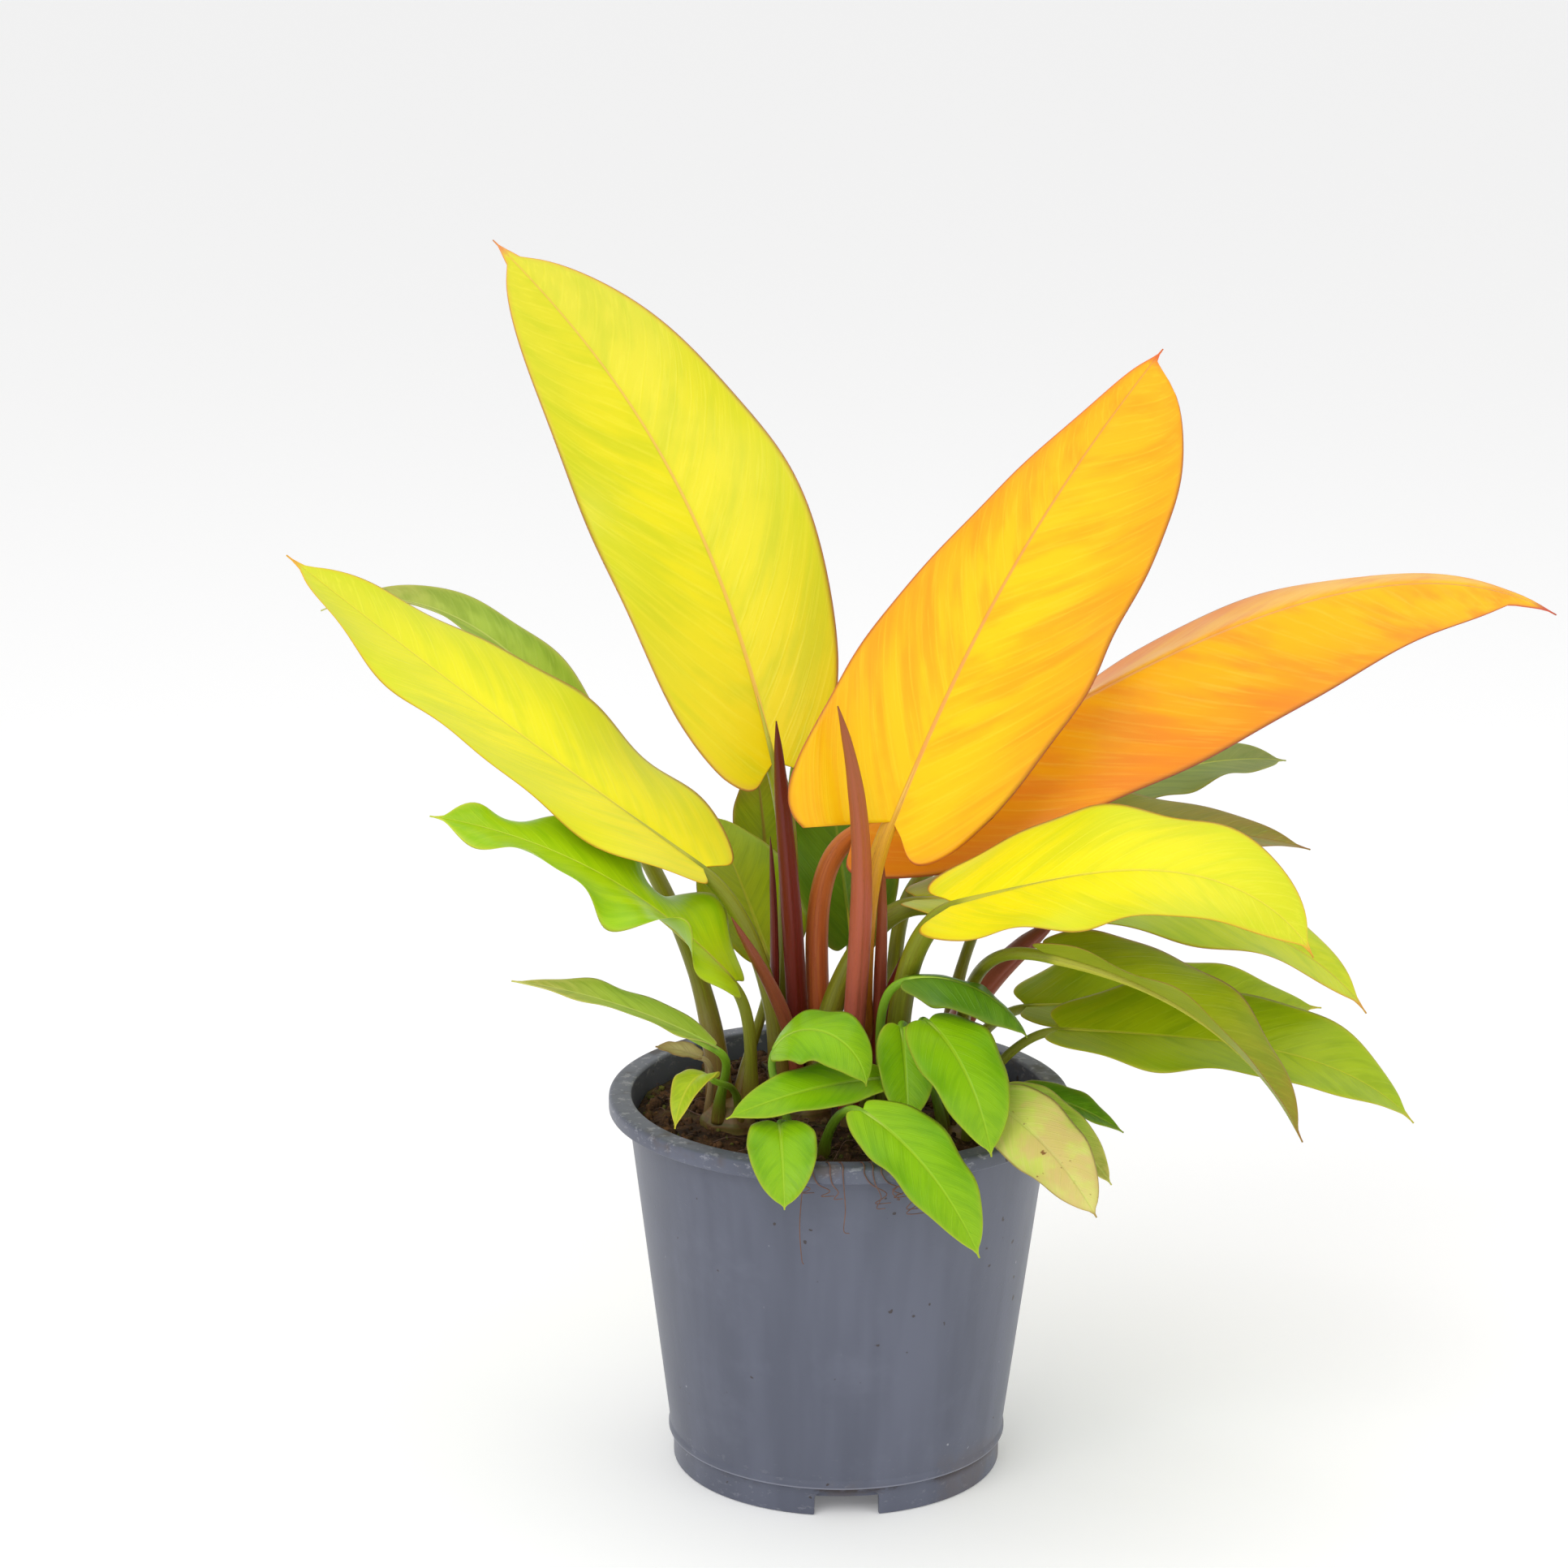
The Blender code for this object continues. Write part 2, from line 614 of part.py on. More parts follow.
def stalk_tube(leaf, midrib):
    """A stalk that stands up from its crown, meets the joint and runs on under the midrib."""
    foot = foot_of(leaf.crown, leaf.bearing)
    radius = leaf.stalk * GROWN_MM
    under = np.array(KEEL_REACH) * midrib.length
    keel = np.array(KEEL_THICKNESS) * radius
    below = midrib.place(under, 0 * under, -0.8 * keel)
    reach = np.linalg.norm(below[0] - foot)
    bend = foot + UP * reach * 0.4
    arrive = below[0] - midrib.tangent[0] * reach * 0.25
    rise = bezier(foot, bend, arrive, below[0], STALK_RINGS)
    share = np.linspace(0, 1, STALK_RINGS)
    foot_radius = min(radius, STALK_FOOT_RADIUS)
    widths = np.interp(share, [0, 0.35, 1], [foot_radius, radius, keel[0]])
    path = np.vstack([rise, below[1:]])
    return tube(path, np.concatenate([widths, keel[1:]]), STALK_SIDES)


def make_leaf(leaf):
    midrib = Midrib(leaf)
    foot = foot_of(leaf.crown, leaf.bearing)
    points, faces = blade_sheet(leaf, midrib)
    blade = solid(leaf.name, points - foot, faces, foot, leaf.colour)
    points, faces = stalk_tube(leaf, midrib)
    stalk = solid(f"{leaf.name}_stalk", np.asarray(points) - foot, faces, foot, leaf.colour)
    cut_or_join(blade, stalk, "UNION", "MANIFOLD")


def make_spear(spear):
    foot = foot_of(spear.crown, spear.bearing)
    tip = over_rim(spear.tip)
    reach = np.linalg.norm(tip - foot)
    bend = foot + UP * reach * 0.35
    arrive = tip - direction(*spear.lean) * reach * 0.35
    path = bezier(foot, bend, arrive, tip, SPEAR_RINGS)
    share = np.linspace(0, 1, SPEAR_RINGS)
    radii = np.interp(share, [0, 0.3, 0.6, 1], [0.75, 1, 0.85, 0.15]) * spear.radius * GROWN_MM
    points, faces = tube(path, radii, STALK_SIDES)
    solid(spear.name, np.asarray(points) - foot, faces, foot, spear.colour)


def centre_underside():
    """Move the root so that the middle of the whole object's underside is the origin."""
    bpy.context.view_layer.update()
    graph = bpy.context.evaluated_depsgraph_get()
    corners = []
    for made in bpy.context.scene.objects:
        if made.type == "MESH" and not made.hide_render:
            shape = made.evaluated_get(graph)
            corners.extend(shape.matrix_world @ Vector(corner) for corner in shape.bound_box)
    low = np.min(corners, axis=0)
    high = np.max(corners, axis=0)
    plant_root.location = -Vector(((low[0] + high[0]) / 2, (low[1] + high[1]) / 2, low[2]))


for leftover in list(bpy.data.objects):
    bpy.data.objects.remove(leftover)

plant_root = bpy.data.objects.new("plant_root", None)
bpy.context.scene.collection.objects.link(plant_root)

make_pot()
make_soil()
for each_crown in CROWNS.values():
    crown_solid(each_crown, each_crown.name, 0)
for each_leaf in LEAVES:
    make_leaf(each_leaf)
for each_spear in SPEARS:
    make_spear(each_spear)
centre_underside()
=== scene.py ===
"""Looks of a young philodendron growing in a round nursery pot.

The plant's own frame has its origin on the pot's axis, at the foot: -Y is the front and +Z
is up. Its measures are close to the solids' own, and every finished piece is moved to
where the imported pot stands. Each leaf is one closed mesh of a thin blade and its stalk.
"""

import json
import math
from dataclasses import dataclass

import bpy
import numpy as np
from mathutils import Matrix, Vector


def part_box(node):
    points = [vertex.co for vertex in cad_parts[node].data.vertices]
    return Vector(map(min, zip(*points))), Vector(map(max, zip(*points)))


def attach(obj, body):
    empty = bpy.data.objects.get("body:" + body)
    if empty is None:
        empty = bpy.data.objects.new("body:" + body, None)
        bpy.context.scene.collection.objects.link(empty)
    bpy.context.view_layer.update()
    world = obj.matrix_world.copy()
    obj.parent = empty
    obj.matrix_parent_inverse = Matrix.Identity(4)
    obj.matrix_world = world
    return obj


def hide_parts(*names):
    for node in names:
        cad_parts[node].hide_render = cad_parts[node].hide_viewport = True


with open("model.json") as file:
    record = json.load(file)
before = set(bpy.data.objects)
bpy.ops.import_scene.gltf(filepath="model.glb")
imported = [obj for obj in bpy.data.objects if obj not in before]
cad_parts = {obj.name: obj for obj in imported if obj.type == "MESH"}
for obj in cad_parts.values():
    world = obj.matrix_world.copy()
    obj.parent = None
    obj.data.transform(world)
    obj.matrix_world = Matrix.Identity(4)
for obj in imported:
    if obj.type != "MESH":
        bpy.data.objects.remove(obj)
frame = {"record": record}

MM = 0.001
UP = np.array([0.0, 0.0, 1.0])
ROOT = "root"

# The pot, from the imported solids
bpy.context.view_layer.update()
pot_low, pot_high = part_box("pot")
POT_PLACE = np.array([(pot_low.x + pot_high.x) / 2, (pot_low.y + pot_high.y) / 2, pot_low.z])
POT_HEIGHT = pot_high.z - pot_low.z
RIM_RADIUS = (pot_high.x - pot_low.x) / 2
SOIL_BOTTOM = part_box("soil")[0].z

RIM_OVERHANG = 6.5 * MM
RIM_DEPTH = 6 * MM
WALL = 1.8 * MM
FOOT_RADIUS = 61 * MM
FOOT_RING_HEIGHT = 11 * MM
FOOT_RING_INSET = 1.2 * MM
FLOOR_HEIGHT = 7 * MM
NOTCH_COUNT = 3
NOTCH_WIDTH = 24 * MM
NOTCH_HEIGHT = 9 * MM
NOTCH_BEARING = -86
DRAIN_COUNT = 6
DRAIN_RADIUS = 5 * MM
DRAIN_CIRCLE = 38 * MM
BODY_TOP_RADIUS = RIM_RADIUS - RIM_OVERHANG
BODY_FOOT_RADIUS = FOOT_RADIUS + FOOT_RING_INSET

SOIL_DROP = 11 * MM
SOIL_HEIGHT = POT_HEIGHT - SOIL_DROP
CLEARANCE = 0.3 * MM

# The plant
PLANTED_RIM_RADIUS = 85 * MM
GROWN_MM = RIM_RADIUS / PLANTED_RIM_RADIUS * MM
BLADE_THICKNESS = 0.55 * MM
BLADE_END_WIDTH = 0.5 * MM
BIG_LEAF = 90

# How a blade tapers toward its base and toward its tip
SHAPES = {"oval": (0.5, 0.7), "lance": (0.75, 0.95), "early": (0.15, 1.1),
          "blunt": (0.5, 0.45), "late": (1.3, 0.9)}
TAIL_WIDTH = 0.16
TAIL_REACH = 0.05
LOBE_WIDTH = 0.22
VEIN_SLANT = 1.1
FAN_POWER = 1.3
CROWDING_POWER = 1.35


# Growth

@dataclass
class Crown:
    """A stub of stem in the soil. Millimetres: place, radius, rise over the soil, ring."""

    name: str
    place: tuple
    radius: float
    rise: float
    ring: float


@dataclass
class Leaf:
    """One leaf on its stalk. Millimetres and degrees.

    The stalk stands on its crown at a bearing round the crown's ring and ends at the joint,
    whose third number is its height over the rim. From the joint the midrib runs along a
    heading, and its rise goes from the first angle to the second; a bend over 1 keeps the
    first for longer. The roll turns the blade about its midrib, and the fold lifts both
    halves. The bow shifts the middle of the midrib sideways, as a share of the length. Seen
    from the joint with the top up, the left half may have another shape, and another fold
    at its base and at its tip. The ripple is how far the margin waves, as a share of the
    half width, and the tail is the drawn-out tip's share of the length.
    """

    name: str
    skin: str
    crown: str
    bearing: float
    joint: tuple
    heading: float
    rise: tuple
    roll: tuple
    length: float
    width: float
    stalk: float
    fold: float = 12
    bend: float = 1
    lobe: float = 0.06
    bow: float = 0
    shape: tuple = ("oval", "oval")
    left_fold: tuple = None
    tail: float = 0.04
    ripple: float = 0.07
    waves: float = 2.2
    stalk_skin: str = "olive_stalk"


@dataclass
class Spear:
    """A rolled new leaf or an old sheath, from its crown to its tip."""

    name: str
    skin: str
    crown: str
    bearing: float
    tip: tuple
    lean: tuple
    radius: float
    flat: float = 1.0


CROWNS = {
    "middle": Crown("crown_middle", (-15, -2), 13, 16, 9),
    "right": Crown("crown_right", (12, -16), 12, 16, 8.5),
    "left": Crown("crown_left", (-40, -20), 11, 13, 7.7),
    "back": Crown("crown_back", (38, 14), 11, 13, 7.5),
    "front": Crown("crown_front", (-10, -48), 9, 5, 5.6),
    "far_right": Crown("crown_far_right", (44, -26), 10, 6, 6.6),
}
ON_AXIS = None

LEAVES = [
    Leaf("leaf_tall_left", "lemon_lime", "middle", 135, (-25, 10, 122),
         139, (62, 40), (-35, -40), 229, 78, 4.0, bow=0.04, tail=0.05, ripple=0.1, waves=1.8),
    Leaf("leaf_orange_centre", "gold", "right", 115, (18, -20, 108),
         42, (56, 44), (63, 68), 206, 90, 3.6, lobe=0.09, bow=-0.02, shape=("early", "blunt"),
         tail=0.03, ripple=0.05, waves=2.6, stalk_skin="gold_stalk"),
    Leaf("leaf_orange_right", "amber", "middle", 25, (4, 12, 96),
         20, (26, -30), (35, 42), 304, 85, 4.4, fold=-12, bend=3,
         shape=("late", "oval"), left_fold=(-74, -40), tail=0.07, stalk_skin="red_stalk"),
    Leaf("leaf_yellow_left", "lemon", "middle", 225, (-50, -7, 87),
         160, (30, 33), (-8, -8), 195, 73, 3.2, fold=8),
    Leaf("leaf_arching_back", "pale_green", "left", 120, (-91, 60, 106),
         150, (54, -26), (-5, -5), 150, 28, 3.4, fold=22, bend=1.3),
    Leaf("leaf_wavy_left", "bright_green", "left", 0, (-38, -26, 50),
         -175, (50, 10), (-8, -16), 128, 52, 2.4, fold=8, ripple=0.28, waves=2.4),
    Leaf("leaf_green_back_left", "green", "left", 60, (-27, 26, 43),
         118, (48, 35), (0, 0), 66, 42, 2.0),
    Leaf("leaf_olive_back", "olive", "middle", 90, (-29, 75, 66),
         110, (80, 60), (0, 0), 38, 26, 1.8),
    Leaf("leaf_green_back", "deep_green", "middle", 64, (4, 30, 48),
         105, (60, 50), (0, 0), 95, 42, 2.2),
    Leaf("leaf_yellow_front", "lemon", "right", 340, (40, -40, 84),
         -20, (20, -60), (25, 25), 142, 64, 4.4, fold=6, bend=2.5, lobe=0.12),
    Leaf("leaf_lime_right", "lime", "middle", 315, (28, 0, 74),
         -6, (4, -55), (5, 20), 175, 60, 4.4, fold=8, bend=2.5),
    Leaf("leaf_olive_right", "olive", "right", 25, (38, 46, 76),
         12, (10, -18), (0, 10), 145, 56, 3.0, bend=1.5),
    Leaf("leaf_grey_back_right", "grey_green", "back", 80, (88, 105, 80),
         25, (22, -10), (15, 15), 98, 44, 2.2),
    Leaf("leaf_folded_right", "olive", "back", 320, (72, -62, 73),
         -25, (-5, -62), (-5, -5), 116, 40, 2.6, fold=30, bend=1.3),
    Leaf("leaf_low_right", "green", "far_right", 60, (79, -28, 34),
         -10, (0, -48), (18, 18), 134, 53, 1.9, bend=3),
    Leaf("leaf_green_back_right", "green", "back", 20, (70, 40, 21),
         10, (0, -6), (20, 20), 115, 48, 2.2),
    Leaf("leaf_narrow_left", "pale_green", "left", 240, (-44, -50, 33),
         -164, (32, 12), (-10, -10), 80, 24, 1.7, shape=("lance", "lance"),
         stalk_skin="green_stalk"),
    Leaf("leaf_drooping_left", "green", "left", 300, (-45, -60, 25),
         -115, (35, -75), (0, 0), 36, 13, 1.3, shape=("lance", "lance"), stalk_skin="green_stalk"),
    Leaf("leaf_curled_front", "young", "front", 200, (-24, -50, 32),
         -25, (60, -85), (25, 25), 50, 29, 1.6, fold=-10, stalk_skin="green_stalk"),
    Leaf("leaf_small_front_left", "young", "right", 250, (16, -50, 22),
         -151, (5, -15), (-30, -30), 64, 21, 1.6, fold=6, stalk_skin="green_stalk"),
    Leaf("leaf_hanging_front", "young", "front", 260, (-21, -72, 12),
         -85, (-15, -65), (0, 0), 36, 25, 1.4, stalk_skin="green_stalk"),
    Leaf("leaf_front", "young", "front", 320, (8, -74, 18),
         -42, (-15, -58), (15, 10), 70, 31, 1.8, fold=6, stalk_skin="green_stalk"),
    Leaf("leaf_small_centre", "young", "far_right", 200, (22, -38, 37),
         -84, (-35, -70), (-8, -8), 38, 22, 1.5, stalk_skin="green_stalk"),
    Leaf("leaf_front_right", "young", "far_right", 150, (31, -45, 42),
         -60, (-10, -70), (10, 5), 61, 31, 1.7, fold=4, stalk_skin="green_stalk"),
    Leaf("leaf_dying_right", "fading", "far_right", 290, (52, -55, 17),
         -45, (-12, -48), (25, 25), 63, 29, 1.6, fold=4, stalk_skin="green_stalk"),
    Leaf("leaf_pale_right", "pale_green", "far_right", 330, (60, -42, 15),
         -33, (-15, -48), (25, 25), 52, 18, 1.4, stalk_skin="green_stalk"),
    Leaf("leaf_small_far_right", "deep_green", "far_right", 15, (64, -26, 10),
         -12, (-5, -32), (20, 20), 42, 15, 1.4, shape=("lance", "lance"),
         stalk_skin="green_stalk"),
    Leaf("leaf_creased_front", "deep_green", "right", 295, (23, -37, 55),
         -13, (15, -60), (15, 15), 52, 24, 1.8, fold=-30, stalk_skin="green_stalk"),
    Leaf("scale_dry", "husk", "left", 180, (-50, -28, 22),
         175, (15, 5), (-20, -20), 17, 9, 1.2, fold=15, stalk_skin="husk_stalk"),
]

SPEARS = [
    Spear("spear_dark", "maroon", "middle", ON_AXIS, (-24, -8, 142), (120, 80), 4.0),
    Spear("spear_pink", "salmon", "right", 205, (-2, -38, 155), (165, 72), 4.2),
    Spear("spear_thin", "salmon", "right", 76, (15, -14, 92), (90, 88), 2.6),
    Spear("sheath_left", "rust", "middle", 270, (-39, -40, 78), (205, 60), 3.6, flat=0.75),
    Spear("sheath_right", "maroon", "right", ON_AXIS, (31, -13, 68), (5, 55), 3.2, flat=0.75),
    Spear("sheath_maroon", "maroon", "middle", 180, (-26, -4, 98), (150, 85), 2.4, flat=0.7),
    Spear("sheath_glossy", "rose", "back", ON_AXIS, (78, -6, 68), (-45, 40), 6.2, flat=0.8),
]


# Node maths

def shade(red, green, blue):
    """A colour given as it looks on a screen, 0 to 255, made linear."""
    values = np.array([red, green, blue]) / 255
    linear = np.where(values <= 0.04045, values / 12.92, ((values + 0.055) / 1.055) ** 2.4)
    return (*linear.tolist(), 1.0)


class Wire:
    """One node's output. Arithmetic on it adds Math nodes."""

    def __init__(self, skin, socket):
        self.skin = skin
        self.socket = socket

    def math(self, operation, *values):
        names = ("Value", "Value_001", "Value_002")
        settings = {"operation": operation}
        return self.skin.node("ShaderNodeMath", settings, dict(zip(names, values)))

    def __add__(self, other):
        return self.math("ADD", self, other)

    def __sub__(self, other):
        return self.math("SUBTRACT", self, other)

    def __rsub__(self, other):
        return self.math("SUBTRACT", other, self)

    def __mul__(self, other):
        return self.math("MULTIPLY", self, other)

    def __abs__(self):
        return self.math("ABSOLUTE", self)

    def wave(self, count):
        """A sine that makes this many turns while the value goes from 0 to 1."""
        return self.math("SINE", self * (count * 2 * math.pi))

    __radd__ = __add__
    __rmul__ = __mul__


class Skin:
    """A procedural material, with one method that makes any node."""

    def __init__(self, name, roughness, **constants):
        self.material = bpy.data.materials.new(name)
        self.material.use_nodes = True
        self.tree = self.material.node_tree
        self.shader = self.tree.nodes["Principled BSDF"]
        self.feed(self.shader, {"Roughness": roughness, **constants})

    def feed(self, node, values):
        """Set or link a node's inputs, found by identifier."""
        sockets = {socket.identifier: socket for socket in node.inputs}
        for name, value in values.items():
            if isinstance(value, Wire):
                self.tree.links.new(value.socket, sockets[name])
            else:
                sockets[name].default_value = value

    def node(self, kind, settings, values, output=0):
        made = self.tree.nodes.new(kind)
        for name, value in settings.items():
            setattr(made, name, value)
        self.feed(made, values)
        sockets = {socket.identifier: socket for socket in made.outputs}
        found = made.outputs[output] if isinstance(output, int) else sockets[output]
        return Wire(self, found)

    def mix(self, factor, first, second):
        """Colours blended by a factor."""
        values = {"Factor_Float": factor, "A_Color": first, "B_Color": second}
        return self.node("ShaderNodeMix", {"data_type": "RGBA"}, values, "Result_Color")

    def smooth(self, value, start, end):
        """0 before the start and 1 past the end, with a soft step; start may be the larger."""
        low, high = min(start, end), max(start, end)
        values = {"Value": value, "From Min": low, "From Max": high}
        if start > end:
            values.update({"To Min": 1.0, "To Max": 0.0})
        return self.node("ShaderNodeMapRange", {"interpolation_type": "SMOOTHSTEP"}, values)

    def combine(self, x, y, z):
        return self.node("ShaderNodeCombineXYZ", {}, {"X": x, "Y": y, "Z": z})

    def split(self, vector):
        return [self.node("ShaderNodeSeparateXYZ", {}, {"Vector": vector}, axis)
                for axis in range(3)]

    def mark(self, name):
        """The three numbers that a piece stores at each point under this name."""
        settings = {"attribute_name": name}
        return self.split(self.node("ShaderNodeAttribute", settings, {}, "Vector"))

    def place(self):
        """The position in the pot's own frame, in metres."""
        position = self.node("ShaderNodeTexCoord", {}, {}, "Object")
        values = {"Vector": position, "Vector_001": tuple(POT_PLACE)}
        return self.node("ShaderNodeVectorMath", {"operation": "SUBTRACT"}, values)

    def noise(self, vector, scale, detail=2.0, roughness=0.5, distortion=0.0):
        values = {"Vector": vector, "Scale": scale, "Detail": detail,
                  "Roughness": roughness, "Distortion": distortion}
        return self.node("ShaderNodeTexNoise", {}, values)

    def finish(self, colour, height=None, depth=0.0002, roughness=None):
        """Link the colour, the roughness and a bump whose height is in units of its depth."""
        self.feed(self.shader, {"Base Color": colour})
        if roughness is not None:
            self.feed(self.shader, {"Roughness": roughness})
        if height is not None:
            values = {"Height": height, "Distance": depth, "Strength": 1.0}
            self.feed(self.shader, {"Normal": self.node("ShaderNodeBump", {}, values)})
        return self.material


# Leaf colours

@dataclass
class LeafColours:
    """A blade's colours as they look on a screen, made linear once they are stored."""

    middle: tuple
    side: tuple
    base: tuple
    tip: tuple
    streak: tuple
    vein: tuple
    midrib: tuple
    margin: tuple
    under: tuple
    gloss: float = 0.34
    streaks: float = 0.5
    spots: float = 0.0

    def __post_init__(self):
        for part, value in vars(self).items():
            if isinstance(value, tuple):
                setattr(self, part, shade(*value))


LEAF_COLOURS = {
    "lemon_lime": LeafColours(
        (228, 216, 14), (206, 204, 24), (238, 212, 16), (210, 206, 46),
        (190, 198, 20), (242, 230, 64), (240, 182, 86), (226, 144, 84),
        (212, 198, 70)),
    "gold": LeafColours(
        (255, 204, 2), (250, 166, 12), (255, 202, 4), (250, 176, 16),
        (246, 156, 10), (255, 222, 50), (246, 162, 86), (230, 112, 60),
        (245, 180, 70)),
    "amber": LeafColours(
        (254, 182, 10), (244, 140, 30), (228, 138, 16), (252, 196, 30),
        (238, 132, 40), (255, 208, 70), (246, 172, 96), (206, 92, 70),
        (240, 150, 50)),
    "lemon": LeafColours(
        (242, 234, 14), (214, 218, 24), (246, 232, 20), (204, 210, 38),
        (208, 216, 26), (246, 242, 70), (242, 226, 66), (232, 166, 52),
        (212, 210, 70)),
    "lime": LeafColours(
        (186, 208, 14), (164, 196, 14), (192, 206, 20), (206, 212, 30),
        (154, 186, 12), (206, 220, 56), (216, 192, 70), (214, 152, 60),
        (164, 186, 40)),
    "bright_green": LeafColours(
        (172, 210, 12), (142, 192, 8), (188, 214, 16), (146, 188, 12),
        (132, 184, 6), (188, 220, 40), (200, 220, 60), (196, 206, 60),
        (150, 184, 32), gloss=0.3),
    "green": LeafColours(
        (162, 184, 10), (138, 166, 8), (146, 156, 12), (156, 182, 20),
        (128, 156, 6), (176, 198, 40), (190, 198, 46), (190, 180, 50),
        (150, 166, 36)),
    "deep_green": LeafColours(
        (90, 138, 18), (74, 122, 14), (92, 130, 18), (104, 146, 28),
        (66, 112, 12), (112, 160, 36), (132, 160, 46), (138, 154, 50),
        (94, 136, 40)),
    "olive": LeafColours(
        (150, 166, 12), (132, 152, 10), (154, 162, 12), (144, 126, 34),
        (118, 140, 10), (172, 184, 34), (156, 122, 46), (148, 104, 44),
        (150, 160, 40)),
    "grey_green": LeafColours(
        (134, 160, 66), (118, 146, 60), (130, 154, 54), (130, 142, 74),
        (106, 134, 54), (150, 174, 80), (190, 206, 90), (156, 166, 80),
        (136, 158, 84), gloss=0.42),
    "young": LeafColours(
        (134, 186, 8), (104, 162, 4), (150, 198, 12), (136, 180, 14),
        (102, 154, 4), (144, 194, 22), (158, 200, 34), (168, 186, 48),
        (134, 176, 30), gloss=0.34, streaks=0.35),
    "pale_green": LeafColours(
        (164, 190, 66), (136, 168, 44), (140, 170, 40), (184, 170, 92),
        (122, 150, 32), (182, 202, 90), (196, 208, 104), (196, 192, 100),
        (158, 180, 80), gloss=0.45),
    "fading": LeafColours(
        (206, 214, 96), (188, 204, 86), (150, 190, 60), (214, 206, 120),
        (222, 206, 130), (226, 228, 130), (216, 222, 110), (176, 150, 86),
        (208, 210, 120), gloss=0.45, spots=0.9),
    "husk": LeafColours(
        (200, 186, 130), (184, 166, 112), (170, 150, 100), (170, 140, 90),
        (160, 140, 96), (214, 200, 150), (190, 170, 120), (150, 120, 80),
        (190, 176, 124), gloss=0.7, spots=0.3),
}

# Stalk, spear and sheath colours: at the foot, half way, at the top and on the keel
STALK_COLOURS = {
    "olive_stalk": ((120, 84, 34), (122, 124, 24), (136, 146, 30),
                    (190, 190, 60)),
    "gold_stalk": ((150, 80, 40), (206, 130, 34), (228, 170, 40),
                   (244, 190, 80)),
    "red_stalk": ((150, 66, 40), (192, 96, 44), (206, 118, 44),
                  (240, 170, 70)),
    "green_stalk": ((112, 90, 36), (112, 150, 30), (126, 176, 34),
                    (170, 206, 70)),
    "husk_stalk": ((120, 96, 60), (160, 136, 90), (180, 160, 110),
                   (190, 170, 120)),
    "maroon": ((96, 26, 24), (114, 34, 20), (98, 32, 20), (74, 26, 18)),
    "salmon": ((160, 70, 62), (178, 88, 62), (158, 88, 44), (120, 64, 36)),
    "rust": ((140, 64, 48), (146, 78, 48), (132, 66, 40), (110, 50, 34)),
    "rose": ((150, 84, 56), (160, 84, 60), (140, 66, 52), (120, 60, 46)),
}


def leaf_skin(name, colours, veins, seed):
    """A blade's skin: soft streaks that follow the side veins, a midrib and a fine margin."""
    skin = Skin(name, colours.gloss, **{
        "Subsurface Weight": 0.12,
        "Subsurface Radius": (0.004, 0.003, 0.001),
        "Subsurface Scale": 0.6,
        "Specular IOR Level": 0.25,
    })
    vein, across, top = skin.mark("vein_place")
    off_midrib, from_margin, along = skin.mark("edge_place")
    reach = abs(across)
    cloud = skin.noise(skin.place(), 60, 3, 0.6)
    broad = skin.noise(skin.combine(vein * 16, reach * 1.2, across * 0.4 + seed), 1, 2, 0.55)
    fine = skin.noise(skin.combine(vein * 90, reach * 3, seed + 4.0), 1, 2, 0.5)
    colour = skin.mix(skin.smooth(reach + broad * 0.5, 0.45, 1.3), colours.middle, colours.side)
    colour = skin.mix(skin.smooth(along, 0.45, 1.0) * 0.85, colour, colours.tip)
    colour = skin.mix(skin.smooth(along, 0.35, 0.0) * 0.7, colour, colours.base)
    patches = skin.smooth(broad + cloud * 0.3, 0.55, 0.85) * colours.streaks
    colour = skin.mix(patches, colour, colours.streak)
    line = skin.smooth(abs((vein + (cloud - 0.5) * 0.012).wave(veins / 2)), 0.34, 0.0)
    line = line * skin.smooth(reach, 1.0, 0.55) * skin.smooth(reach, 0.0, 0.12)
    colour = skin.mix(line * 0.16, colour, colours.vein)
    hair = skin.smooth(fine, 0.5, 0.68)
    colour = skin.mix(hair * 0.16, colour, colours.vein)
    rib = skin.smooth(off_midrib + along * 0.7, 1.2, 0.5)
    colour = skin.mix(rib * 0.8, colour, colours.midrib)
    blush = skin.smooth(from_margin, 3.0, 0.0) * 0.3
    colour = skin.mix(blush, colour, colours.margin)
    rim = skin.smooth(from_margin, 0.8, 0.25)
    colour = skin.mix(rim * 0.85, colour, colours.margin)
    colour = skin.mix(skin.smooth(along, 0.955, 0.985), colour, colours.margin)
    if colours.spots:
        marks = skin.noise(skin.place(), 190, 3, 0.6)
        tan = skin.smooth(cloud, 0.5, 0.66) * colours.spots
        colour = skin.mix(tan * 0.6, colour, shade(214, 178, 120))
        colour = skin.mix(skin.smooth(marks, 0.66, 0.72) * colours.spots, colour,
                          shade(128, 78, 40))
    colour = skin.mix(skin.smooth(top, 0.6, 0.2) * 0.6, colour, colours.under)
    height = line * 0.2 + hair * 0.12 + cloud * 0.5 - rib * 0.8
    rough = colours.gloss + cloud * 0.16 - 0.06 + skin.smooth(top, 0.6, 0.2) * 0.12
    return skin.finish(colour, height, 0.25 * MM, rough)


